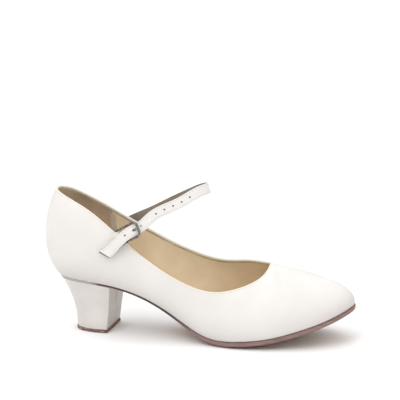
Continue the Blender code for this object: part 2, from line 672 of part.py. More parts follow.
def build_strap(look, group, cutters):
    points, widths, thicknesses = strap_route()
    strap = band("strap", points, widths, thicknesses, STRAP_WIDTH, STRAP_STEPS, look, group, TAIL_CUT)
    through = [AXES.at(u, 0.0, n) for u, n in prong_line() if u > BUCKLE_LENGTH * HOLE_FROM]
    hole = as_mesh(wire("prong hole", through, PRONG_RADIUS + HOLE_CLEARANCE, False, look, cutters), cutters)
    cut(strap, hole)
    return strap


def as_mesh(curve_object, group):
    """The same object as a closed mesh, in the curve's place."""
    made_from = curve_object.evaluated_get(bpy.context.evaluated_depsgraph_get())
    mesh = bpy.data.meshes.new_from_object(made_from)
    shape = bmesh.new()
    shape.from_mesh(mesh)
    bmesh.ops.remove_doubles(shape, verts=shape.verts, dist=2e-6)
    shape.to_mesh(mesh)
    shape.free()
    made = bpy.data.objects.new(curve_object.name + " mesh", mesh)
    made.matrix_world = curve_object.matrix_world
    group.objects.link(made)
    bpy.data.objects.remove(curve_object)
    return made


def build_tab(look, group, cutters):
    """The tab: up the quarter, round the rear bar and back down over itself."""
    points, widths = [], []
    radius = WIRE_RADIUS + GAP + TAB_THICKNESS / 2
    for down in np.linspace(TAB_LENGTH, 2 * radius, 6):
        on_wall, normal = tab_place(down)
        points.append(on_wall + normal * (GAP + TAB_THICKNESS / 2))
        widths.append(tab_width(normal))
    for turn in np.radians([-90, -45, 0, 45, 90]):
        points.append(AXES.at(radius * math.cos(turn), 0, radius * math.sin(turn)))
        widths.append(AXES.v)
    for down in np.linspace(3.5 * radius, TAB_LENGTH - TAB_STEP_BACK, 6):
        on_wall, normal = tab_place(down)
        points.append(on_wall + normal * (2 * GAP + 1.5 * TAB_THICKNESS))
        widths.append(tab_width(normal))
    tab = band("buckle_tab", points, widths, [TAB_THICKNESS] * len(points), TAB_WIDTH, TAB_STEPS, look, group)
    shape = bmesh.new()
    bmesh.ops.create_cube(shape, size=1.0)
    slot = 2 * (PRONG_RADIUS + 2 * GAP)
    reach = 2 * (PRONG_TURN + PRONG_RADIUS + 3 * GAP)
    bmesh.ops.scale(shape, vec=(reach, slot, reach), verts=shape.verts)
    cut(tab, cutter("prong slot", shape, AXES.at(0, 0, 0), [AXES.u, AXES.v, AXES.n], cutters))
    return tab


def tab_width(normal):
    """Across the tab, flat on the quarter."""
    flat = width_direction(TAIL_SLOPE, 0.0)
    return unit(flat - normal * np.dot(flat, normal))


def wire(name, points, radius, closed, look, group):
    """A round wire through points, as a mesh of its own."""
    curve = bpy.data.curves.new(name, "CURVE")
    curve.dimensions = "3D"
    curve.bevel_depth = radius
    curve.bevel_resolution = 2
    curve.use_fill_caps = not closed
    spline = curve.splines.new("POLY")
    spline.points.add(len(points) - 1)
    for knot, point in zip(spline.points, points):
        knot.co = (*(np.asarray(point) - ORIGIN), 1.0)
    spline.use_cyclic_u = closed
    curve.materials.append(look)
    made = bpy.data.objects.new(name, curve)
    group.objects.link(made)
    return made


def bowed(u):
    """How far the frame's chord stands out at u: level behind, and up to the bow at the front bar."""
    return BUCKLE_BOW * max(0.0, min(1.0, u / BUCKLE_LENGTH)) ** 1.5


def build_frame(look, group):
    half = BUCKLE_WIDTH / 2
    outline = []
    for centre_u, centre_v, radius, start in (
            (BUCKLE_LENGTH - BUCKLE_CORNER, half - BUCKLE_CORNER, BUCKLE_CORNER, 90),
            (BUCKLE_LENGTH - BUCKLE_CORNER, -half + BUCKLE_CORNER, BUCKLE_CORNER, 0),
            (REAR_CORNER, -half + REAR_CORNER, REAR_CORNER, -90),
            (REAR_CORNER, half - REAR_CORNER, REAR_CORNER, -180)):
        for turn in np.radians(np.linspace(start, start - 90, CORNER_STEPS + 1)):
            outline.append((centre_u + radius * math.cos(turn), centre_v + radius * math.sin(turn)))
    points = []
    for (u, v), (next_u, next_v) in zip(outline, outline[1:] + outline[:1]):
        points.append(AXES.at(u, v, bowed(u)))
        if math.hypot(next_u - u, next_v - v) > 4 * WIRE_RADIUS:
            for share in (0.25, 0.5, 0.75):
                middle = u + (next_u - u) * share
                points.append(AXES.at(middle, v + (next_v - v) * share, bowed(middle)))
    return wire("buckle_frame", points, WIRE_RADIUS, True, look, group)


def prong_line():
    """(u, n) along the prong: hooked round the rear bar, under the strap, up through its hole and onto
    the front bar."""
    local = []
    for turn in np.radians(np.linspace(300, 90, 10)):
        local.append((PRONG_TURN * math.cos(turn), PRONG_TURN * math.sin(turn)))
    shares = [row[1] for row in PRONG]
    heights = [row[2] * PRONG_TURN + row[3] * PRONG_ON_BAR for row in PRONG]
    line = Spline(shares, heights)
    end = BUCKLE_LENGTH + PRONG_OVERHANG
    for share in np.linspace(PRONG_LEAVES, 1.0, PRONG_STEPS + 1):
        local.append((end * share, float(line.at(share))))
    return local


def build_prong(look, group):
    points = [AXES.at(u, 0.0, n) for u, n in prong_line()]
    return wire("buckle_prong", points, PRONG_RADIUS, False, look, group)


def main():
    clear_scene()
    shoe = collection("character shoe")
    cutters = collection("cutters")
    white = material("white leather", (0.90, 0.89, 0.86), 0.35)
    sock = material("sock leather", (0.60, 0.45, 0.34), 0.6)
    brown = material("sole leather", (0.25, 0.10, 0.08), 0.55)
    block = material("covered heel", (0.80, 0.77, 0.72), 0.4)
    lift = material("heel tip leather", (0.28, 0.16, 0.12), 0.7)
    steel = material("dark steel", (0.18, 0.17, 0.17), 0.35, 1.0)
    build_upper(white, shoe)
    build_insole(sock, shoe)
    build_outsole(brown, shoe)
    build_heel(block, shoe)
    build_heel_tip(lift, shoe)
    build_strap(white, shoe, cutters)
    build_tab(white, shoe, cutters)
    build_frame(steel, shoe)
    build_prong(steel, shoe)


main()
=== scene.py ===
"""Looks of the right-foot character shoe: finer leather, lining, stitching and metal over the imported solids.

Metres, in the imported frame: +X towards the toe, -Y the outer side, +Z up. The last's shape is worked out
as in the part's source, from the same sizes, in its own x from the heel's rearmost point; ORIGIN moves a
piece from there into the frame.
"""
import functools
import math

import bmesh
import bpy
import numpy as np
from mathutils import Matrix, Vector


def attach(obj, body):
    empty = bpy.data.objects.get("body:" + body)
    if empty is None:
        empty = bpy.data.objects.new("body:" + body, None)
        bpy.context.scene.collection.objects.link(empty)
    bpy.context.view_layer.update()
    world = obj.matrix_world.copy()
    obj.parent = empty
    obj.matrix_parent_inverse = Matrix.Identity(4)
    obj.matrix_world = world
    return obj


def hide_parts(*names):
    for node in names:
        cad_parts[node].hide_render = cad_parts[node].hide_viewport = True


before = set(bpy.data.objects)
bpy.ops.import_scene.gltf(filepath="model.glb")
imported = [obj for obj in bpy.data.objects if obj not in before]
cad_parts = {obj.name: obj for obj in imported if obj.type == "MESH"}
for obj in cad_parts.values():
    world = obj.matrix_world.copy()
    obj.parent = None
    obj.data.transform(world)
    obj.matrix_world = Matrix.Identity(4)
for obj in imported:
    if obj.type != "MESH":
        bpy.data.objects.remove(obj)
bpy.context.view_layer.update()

# Sizes of the last
LENGTH = 0.240             # from the heel's rearmost point to the toe tip, along the floor
BALL_WIDTH = 0.074         # feather line across the ball of the foot
CAMBER = 0.0022            # the underside of the ball hangs this far below its feather line
HEEL_RISE = 0.0378         # feather line at the heel seat, above the one under the ball
TOE_SPRING = 0.0223        # feather line at the toe tip, above the one under the ball
INSTEP_HEIGHT = 0.050      # what the walls' heights follow
BACK_HEIGHT = 0.0675       # topline at the back, above the feather line

# Upper, insole and outsole
UPPER_WALL = 0.0016
LASTING_MARGIN = 0.009     # how far the upper is turned under the insole
INSOLE_THICKNESS = 0.0016
INSOLE_ROOM = 0.0011       # between its edge and the upper's inner face
SOLE_THICKNESS = 0.0032    # under the ball
SOLE_EDGE = 0.0007         # how far the sole stands out beyond the feather line there
TREAD_GROUND = 0.0006      # what is ground off the lowest part of the tread, to a flat
GAP = 0.0003               # between pieces that meet

# Heel block and its tip
HEEL_PITCH = 0.0130        # the tip's back edge lies this far in front of the seat's
TIP_LENGTH = 0.0277
TIP_WIDTH = 0.034
TIP_THICKNESS = 0.0024
TIP_LIP = 0.0004           # how far the tip stands out beyond the block
BREAST_LEAN = 0.0050       # the block's front face is this much further forward at its top
HEEL_INSET = 0.0004        # the block's top edge, inside the sole's
HEEL_FLARE = 2.1           # how fast the block spreads near its top
TIP_FULLNESS = 2.5         # 2 is a half ellipse, more is squarer

# Strap, buckle and tab
STRAP_WIDTH = 0.0082
STRAP_THICKNESS = 0.0017
STRAP_SKIVED = 0.0007      # thickness at the end sewn to the inner quarter
STRAP_REACH = 0.0660       # the bend lies this far in front of where the strap crosses the topline
STRAP_RISE = 0.0320        # and this far above it
WIRE_RADIUS = 0.0009
BUCKLE_LENGTH = 0.0190     # between the middles of its two bars
BUCKLE_WIDTH = 0.0112      # between the middles of its two sides
BUCKLE_CORNER = 0.0032     # radius of the two front corners
BUCKLE_STAND = 0.0009      # between the quarter and the tab's fold round the rear bar
BUCKLE_BOW = 0.0024        # how far the front bar stands out from the frame's chord
BUCKLE_SLOPE = 26.0        # degrees that the frame rises towards the instep
BUCKLE_TILT = 16.0         # degrees that its upper side leans in over the foot
BUCKLE_TOE_OUT = 0.08      # how far it swings outwards for each metre towards the toe
REAR_CORNER = 0.0015       # radius of its two rear corners
PRONG_RADIUS = 0.0006
PRONG_OVERHANG = 0.0011    # the prong's tip, past the middle of the front bar
TAB_WIDTH = 0.0088
TAB_THICKNESS = 0.0009
TAB_LENGTH = 0.0180        # on the quarter, below the topline
TAB_STEP_BACK = 0.0018     # the folded layer ends this far before the one on the quarter

# Each station lies a share of LENGTH along the floor. lateral, medial and ridge_side are shares of
# BALL_WIDTH, heel of HEEL_RISE and spring of TOE_SPRING. The wall's section rises from the feather
# line to the ridge over the foot: low_out and low_up, high_out and high_drop are its two handles, as
# shares of half BALL_WIDTH, INSTEP_HEIGHT, BALL_WIDTH and INSTEP_HEIGHT.
SECTION_COLUMNS = ("along", "lateral", "medial", "heel", "spring", "ridge_along", "ridge_side", "ridge_up",
                   "low_out", "low_up", "high_out", "high_drop")
SECTIONS = (
    ("heel back", 0.048, 0.000, 0.000, 0.972, 0.000, 0.110, 0.000, 1.75, 0.46, 0.27, 0.42, 0.52),
    ("heel round", 0.064, 0.150, 0.150, 0.978, 0.000, 0.113, 0.000, 1.75, 0.40, 0.27, 0.40, 0.54),
    ("heel corner", 0.110, 0.262, 0.262, 0.982, 0.000, 0.135, 0.000, 1.73, 0.29, 0.26, 0.39, 0.58),
    ("heel seat", 0.178, 0.310, 0.310, 0.950, 0.000, 0.190, 0.000, 1.67, 0.22, 0.24, 0.40, 0.60),
    ("breast", 0.260, 0.312, 0.295, 0.870, 0.000, 0.268, 0.000, 1.60, 0.20, 0.24, 0.40, 0.58),
    ("shank", 0.360, 0.300, 0.245, 0.653, 0.000, 0.362, 0.000, 1.54, 0.24, 0.26, 0.42, 0.54),
    ("waist", 0.460, 0.345, 0.260, 0.326, 0.000, 0.460, 0.000, 1.51, 0.26, 0.28, 0.44, 0.46),
    ("joint", 0.560, 0.430, 0.360, 0.022, 0.000, 0.560, 0.010, 1.35, 0.20, 0.30, 0.42, 0.26),
    ("ball", 0.660, 0.490, 0.450, 0.000, 0.000, 0.655, 0.020, 1.12, 0.14, 0.30, 0.34, 0.06),
    ("tread front", 0.760, 0.470, 0.470, 0.000, 0.140, 0.742, 0.030, 0.952, 0.10, 0.28, 0.28, 0.00),
    ("toe rear", 0.855, 0.390, 0.430, 0.000, 0.410, 0.815, 0.040, 0.754, 0.08, 0.24, 0.27, 0.00),
    ("toe round", 0.930, 0.275, 0.345, 0.000, 0.680, 0.866, 0.050, 0.571, 0.06, 0.20, 0.23, 0.00),
    ("toe corner", 0.980, 0.125, 0.222, 0.000, 0.905, 0.891, 0.050, 0.436, 0.05, 0.18, 0.19, 0.00),
    ("toe tip", 1.000, -0.050, 0.050, 0.000, 1.000, 0.898, 0.050, 0.386, 0.05, 0.18, 0.17, 0.00),
)

# How much of CAMBER the underside has at a share of LENGTH: none under the heel and the waist
CAMBER_FROM, CAMBER_FULL = 0.40, 0.62

# The topline's height above the feather line, in shares of BACK_HEIGHT. It meets the ridge at THROAT.
TOPLINE_COLUMNS = ("along", "lateral_up", "medial_up")
TOPLINE = (
    ("back", 0.048, 1.000, 1.000),
    ("back side", 0.105, 0.905, 0.885),
    ("quarter", 0.178, 0.793, 0.760),
    ("ankle", 0.260, 0.627, 0.640),
    ("tab front", 0.340, 0.496, 0.585),
    ("arch", 0.440, 0.451, 0.590),
    ("low", 0.540, 0.498, 0.670),
    ("vamp side", 0.620, 0.531, 0.725),
    ("vamp front", 0.700, 0.587, 0.730),
    ("throat side", 0.738, 0.640, 0.715),
)
THROAT = 0.757             # share of the length, where the topline crosses the ridge
WALL_SPACING = 0.06        # what the whole wall counts for, along the topline's knots
RIDGE_END = 0.005          # the ridge keeps its slope over this last part of the feather line
LEVEL_DROP = 0.003         # high_drop below which the wall starts to leave the ridge along its slope

# The sole's thickness as a share of SOLE_THICKNESS, and its edge as a share of SOLE_EDGE
SOLE_COLUMNS = ("along", "thickness", "edge")
SOLE = (
    ("seat back", 0.048, 0.40, -0.60),
    ("seat front", 0.230, 0.40, -0.60),
    ("breast", 0.270, 0.44, 0.00),
    ("waist", 0.440, 0.58, 0.20),
    ("joint", 0.560, 0.90, 0.80),
    ("ball", 0.660, 1.00, 1.00),
    ("toe", 1.000, 1.00, 1.00),
)

# The strap's middle from the inner quarter over the instep to the buckle. reach and rise are shares of
# STRAP_REACH and STRAP_RISE from where it crosses the topline, side a share of BALL_WIDTH. The width
# leans back from upright by lean degrees and its upper edge leans in over the foot by tilt degrees.
STRAP_COLUMNS = ("reach", "rise", "side", "lean", "tilt")
STRAP = (
    ("inner leg low", 0.19, 0.18, 0.336, 26.0, 6.0),
    ("inner leg", 0.50, 0.515, 0.268, 26.0, 6.0),
    ("inner leg high", 0.75, 0.78, 0.185, 25.0, 4.0),
    ("inner turn", 0.91, 0.935, 0.115, 20.0, 2.0),
    ("bend", 1.000, 1.000, 0.000, 15.0, 0.0),
    ("outer turn", 0.935, 0.965, -0.105, 20.0, 2.0),
    ("outer leg high", 0.72, 0.72, -0.210, 25.0, 8.0),
    ("outer leg", 0.44, 0.44, -0.322, 26.0, 12.0),
)
STRAP_CROSSING = 0.266     # share of the length, where the strap crosses the inner topline
STRAP_ROOT = 0.011         # length sewn to the outside of the inner quarter
STRAP_SLOPE = 26.0         # degrees, the direction of the sewn end
TAB_CROSSING = 0.281       # share of the length, where the tab crosses the outer topline
TAIL_SLOPE = 38.0          # degrees, the direction of the tab and the strap's tail
TAIL_LENGTH = 0.0157       # of the strap, past the rear bar
TAIL_LOW = 0.0033          # the tail lies this far below the buckle's middle line
TAIL_ROOM = 0.0009         # between the tab and the tail over it
TAIL_CUT = 26.0            # degrees that its end is cut away from square, the upper edge longer
CUT_FADES = 0.008          # the strap's sections turn to that cut over this length
TAIL_MIDDLE = 0.55         # share of TAIL_LENGTH where the route has a point of its own
TAIL_TILT = 10.0           # degrees that the tail's upper edge leans in over the foot
TAIL_LIES = 0.8            # how far the tail then turns to lie flat on the quarter: 1 is fully

# The strap's middle through the buckle, from the front bar to the rear bar: a share of BUCKLE_LENGTH, a
# share of TAIL_LOW, and how its height is shared between STRAP_OVER and STRAP_UNDER
THROUGH_BUCKLE = (
    ("front bar", 1.00, -0.14, 0.00, 1.00),
    ("diving", 0.82, -0.06, 0.30, 0.70),
    ("over the prong", 0.56, 0.16, 0.84, 0.16),
    ("level", 0.28, 0.54, 1.00, 0.00),
    ("rear bar", 0.00, 1.00, 1.00, 0.00),
)
HOLE_CLEARANCE = 0.0005    # of the strap's hole, round the prong that comes up through it
HOLE_FROM = 0.45           # share of BUCKLE_LENGTH where the prong starts to come up to the hole
PRONG_LEAVES = 0.08        # share of the prong's way where its hook round the rear bar ends

# The prong's height along the buckle: a share of its way to its tip, and what its height has of the
# height over the rear bar and of the height on the front bar
PRONG = (
    ("rear bar", 0.00, 1.00, 0.00),
    ("level", 0.26, 0.95, 0.00),
    ("low", 0.50, 0.50, 0.00),
    ("foot of the rise", 0.64, 0.50, 0.00),
    ("through the hole", 0.74, 0.35, 0.28),
    ("over the strap", 0.84, 0.00, 0.76),
    ("bar", 0.94, 0.00, 0.99),
    ("tip", 1.00, 0.00, 1.00),
)

# Surface work that only the looks have
EDGE_ROLL = 0.00022        # how far the rolled topline stands out beyond the wall's two faces
SEAT_EDGE_FADES = (0.004, 0.011)   # x in the frame where the sole's edge turns from pale grey at the seat, painted soft shade, to stained
TAPE_WIDTH = 0.0024        # olive tape inside the topline
TAPE_THICKNESS = 0.0003
LINING_SEAM = 0.0475       # x where the back lining meets the front lining, from the heel's rearmost point
LINING_SEAM_WIDTH = 0.0048
BACK_SEAM_DEPTH = 0.00022  # closed seam down the middle of the heel's back
BACK_SEAM_WIDTH = 0.0007
STITCH_LENGTH = 0.0017
STITCH_PITCH = 0.0024
STITCH_THICKNESS = 0.00034
STITCH_INSET = 0.0011      # from the leather's edge
GROOVE_DEPTH = 0.00010     # that a row of stitches pulls into the leather
HOLE_RADIUS = 0.00075      # the strap's spare holes
HOLE_SPACING = 0.0070
HOLES_AHEAD, HOLES_BEHIND = 7, 1
PAINTED_SHADOW_RINGS = 2         # of the strap's steps, dark all round at its cut end: painted shadow along the end
STRAP_STITCHES = (0.0020, 0.0012)  # the rows start and stop this far from the strap's two ends
TAB_STITCHES = (0.0140, 0.0010)    # both from the tab's last end
GROOVE_REACH, GROOVE_WIDTH = 0.0004, 0.00022         # its points go this far each way; how wide it is
STRIP_CORNER = 0.55        # radius of a strip's corners, as a share of half its thickness
RELIEF_FROM = 0.06         # share of the wall above the feather line where creases reach their full depth
CREASE_ENDS = 0.35         # share of a crease's depth at its two ends
EDGE_BELOW = 0.0003        # the rolled edge's middle, below the topline
TAPE_FROM, TAPE_CORNER = 0.0010, 0.0001              # below the topline; its upper edge slants this far
SEAM_PROFILE = (0.0, 0.7, 1.0, 0.8, 1.0, 0.7, 0.0)   # the lining seam's band across, of SEAM_CROWN
SEAM_CROWN, SEAM_LIFT = 0.00035, 0.00005             # how far it stands out, and its distance from the wall
SEAM_FROM, SEAM_TO = 0.05, 0.93    # shares of the wall's height below the topline
SOLE_TOP_INSET, SOLE_UNDER_INSET = 0.0003, 0.0004    # of its faces; the lower has half SOLE_EDGE more
HEEL_FOLD = 0.0005         # width of the heel cover's rounded corners
COVER_SEAM_RADIUS = 0.00042
COVER_SEAM_FROM, COVER_SEAM_TO = 0.02, 0.50          # shares of the breast's height, from its top
COVER_SEAM_SIDE, COVER_SEAM_WANDER = -0.0006, 0.0005 # off the middle, and how far it wanders from there
PRONG_TAPER = (0.99, 0.95, 0.86, 0.70, 0.40)         # of its radius, over its last steps

# The sock's rounded edge, top first: how far its rim is drawn in, and a share of its thickness
SOCK_EDGE = ((0.0011, 1.0), (0.0004, 0.86), (0.0, 0.5), (0.0, 0.0))

# Layers of the sole's edge: a share of the way down it, and how far each stands out from it
SOLE_LAYERS = ((0.06, -0.0001), (0.16, 0.0), (0.28, 0.0001), (0.50, 0.0001), (0.72, 0.0001), (0.84, 0.0),
               (0.94, -0.00025))

# The heel tip's layers: a share of TIP_THICKNESS, a share of TIP_LIP, and how far it is frayed
TIP_LAYERS = ((1.0, 0.55, 0.10), (0.82, 1.0, 0.25), (0.62, 0.70, 0.30), (0.40, 1.0, 0.45),
              (0.18, 0.85, 0.55), (0.04, 0.45, 0.35), (0.0, 0.0, 0.0))
FRAY_IN, FRAY_OUT = -1.4, 0.9      # the most that a rim's roughness goes either way

# Soil and painted shade of the upper, darker towards the feather line: how high it fades, what is everywhere,
# and more round places along the last
SOIL_AND_SHADE_HEIGHT, SOIL_AND_SHADE_EVERYWHERE = 0.011, 0.45
SOIL_AND_SHADE_SPOTS = ((LENGTH, 0.02, 0.30), (0.03, 0.04, 0.40))

# Darkening of the sole: the dark corners of its edge, painted shade such as the shadow line under the upper; a
# darker waist; and the polished tread
CORNER_SHARPNESS, CORNER_SHADE = 2.2, 0.95
WAIST_ENDS, WAIST_FADES, WAIST_DARKENING = 0.52, 0.08, 0.80
TREAD_POLISH_HEIGHT, TREAD_POLISH = 0.0015, 0.5

# Soil and painted shade of the heel cover: above its tip, and painted shade along the breast's corners
HEEL_SOIL_AND_SHADE_HEIGHT, HEEL_SOIL_AND_SHADE = 0.0035, 0.30
BREAST_SHADE_WIDTH, BREAST_SHADE = 0.006, 0.25

# Creases of the vamp, from one point to another over the floor, in the last's x and y, with the width
# and the depth of each. A negative depth is a soft swelling beside a crease.
CREASE_COLUMNS = ("x0", "y0", "x1", "y1", "width", "depth")
CREASES = (
    ("throat trough", 0.1845, -0.0040, 0.1935, -0.0225, 0.0044, 0.00150),
    ("swelling behind the trough", 0.1785, -0.0150, 0.1850, -0.0270, 0.0040, -0.00055),
    ("throat trough, inner", 0.1850, 0.0100, 0.1915, 0.0240, 0.0040, 0.00090),
    ("flex line at the outer joint", 0.1500, -0.0360, 0.1660, -0.0310, 0.0024, 0.00040),
    ("second flex line", 0.1560, -0.0370, 0.1740, -0.0290, 0.0022, 0.00030),
    ("flex line over the toes", 0.1980, -0.0240, 0.1960, -0.0020, 0.0034, 0.00040),
    ("flex line at the inner joint", 0.1480, 0.0330, 0.1680, 0.0310, 0.0024, 0.00040),
    ("waist pull, outer", 0.1060, -0.0260, 0.1290, -0.0310, 0.0036, 0.00040),
)

# Numbers of steps in the smooth surfaces
TOPLINE_STEPS = 190
RIDGE_STEPS = 64
WALL_STEPS = 44
THROAT_FAN = 0.35          # the wall's columns at the throat stand this share further on, to the toe tip
MARGIN_ROWS = (1.0, 0.66, 0.33, 0.10)
BOTTOM_STEPS = 170
RUNG_STEPS = 24
HEEL_STEPS = 56
BLOCK_STEPS = 36
STRAP_STEPS = 420
TAB_STEPS = 260
CORNER_STEPS = 12
PRONG_STEPS = 48
HOOK_STEPS = 22
SEAM_STEPS = 40
COVER_SEAM_STEPS = 24
EDGE_SIDES, WIRE_SIDES, PRONG_SIDES, COVER_SEAM_SIDES, HOLE_SIDES = 16, 18, 16, 10, 20
EDGE_GRIDS = 3             # layered_grids gives a solid's three edges first
BACK_FACES = 8             # the last faces of a strip's section, which have its backing's look
SHARP_ANGLE = 40.0

# Strength of the studio's even light at the horizon and overhead
SKY_LOW, SKY_HIGH = 0.35, 1.55

# Soft lights: name, place, size across and watts. They all point at LIT.
LIGHTS = (
    ("key", (-0.45, -1.25, 1.45), 1.1, 7.0),
    ("fill", (1.35, -0.90, 0.90), 1.1, 2.0),
    ("top", (0.15, 0.35, 1.70), 1.3, 2.0),
)
LIT = (0.08, 0.0, 0.05)
FLOOR_HALF = 9.0

# The photograph's camera, fitted to the heel tip and the tread's line on the floor
CAMERA_TARGET = (0.0852, 0.0, 0.1035)
CAMERA_DISTANCE = 1.10
CAMERA_AZIMUTH = 14.8      # degrees ahead of square to the outer side
CAMERA_ELEVATION = 12.0
CAMERA_ROLL = -1.0
CAMERA_LENS = 131.9        # mm, on a 36 mm sensor


def table(columns, rows):
    """The rows' numbers by column name; each row starts with its own name."""
    return {name: np.array([row[i + 1] for row in rows], float) for i, name in enumerate(columns)}


class Spline:
    """A cubic curve through values at knots, closed where it has a period."""

    def __init__(self, knots, values, period=None):
        self.knots = np.asarray(knots, float)
        self.values = np.asarray(values, float)
        self.period = period
        count = len(self.knots)
        ends = self.knots if period is None else np.append(self.knots, self.knots[0] + period)
        gaps = np.diff(ends)
        system = np.zeros((count, count))
        right = np.zeros_like(self.values)
        for i in range(count):
            if period is None and i in (0, count - 1):
                system[i, i] = 1.0
                continue
            before, after, nxt = gaps[i - 1], gaps[i], (i + 1) % count
            system[i, i - 1] += before
            system[i, i] += 2 * (before + after)
            system[i, nxt] += after
            rise = (self.values[nxt] - self.values[i]) / after
            right[i] = 6 * (rise - (self.values[i] - self.values[i - 1]) / before)
        self.curvature = np.linalg.solve(system, right)
        self.gaps = gaps

    def at(self, where):
        where = np.asarray(where, float)
        if self.period is not None:
            where = np.mod(where - self.knots[0], self.period) + self.knots[0]
        i = np.clip(np.searchsorted(self.knots, where, side="right") - 1, 0, len(self.gaps) - 1)
        j = (i + 1) % len(self.knots)
        gap = self.gaps[i]
        b = (where - self.knots[i]) / gap
        if self.values.ndim > 1:
            b, gap = b[..., None], gap[..., None]
        a = 1 - b
        bend = (a ** 3 - a) * self.curvature[i] + (b ** 3 - b) * self.curvature[j]
        return a * self.values[i] + b * self.values[j] + bend * gap * gap / 6


def unit(vectors):
    vectors = np.asarray(vectors, float)
    return vectors / np.linalg.norm(vectors, axis=-1, keepdims=True)


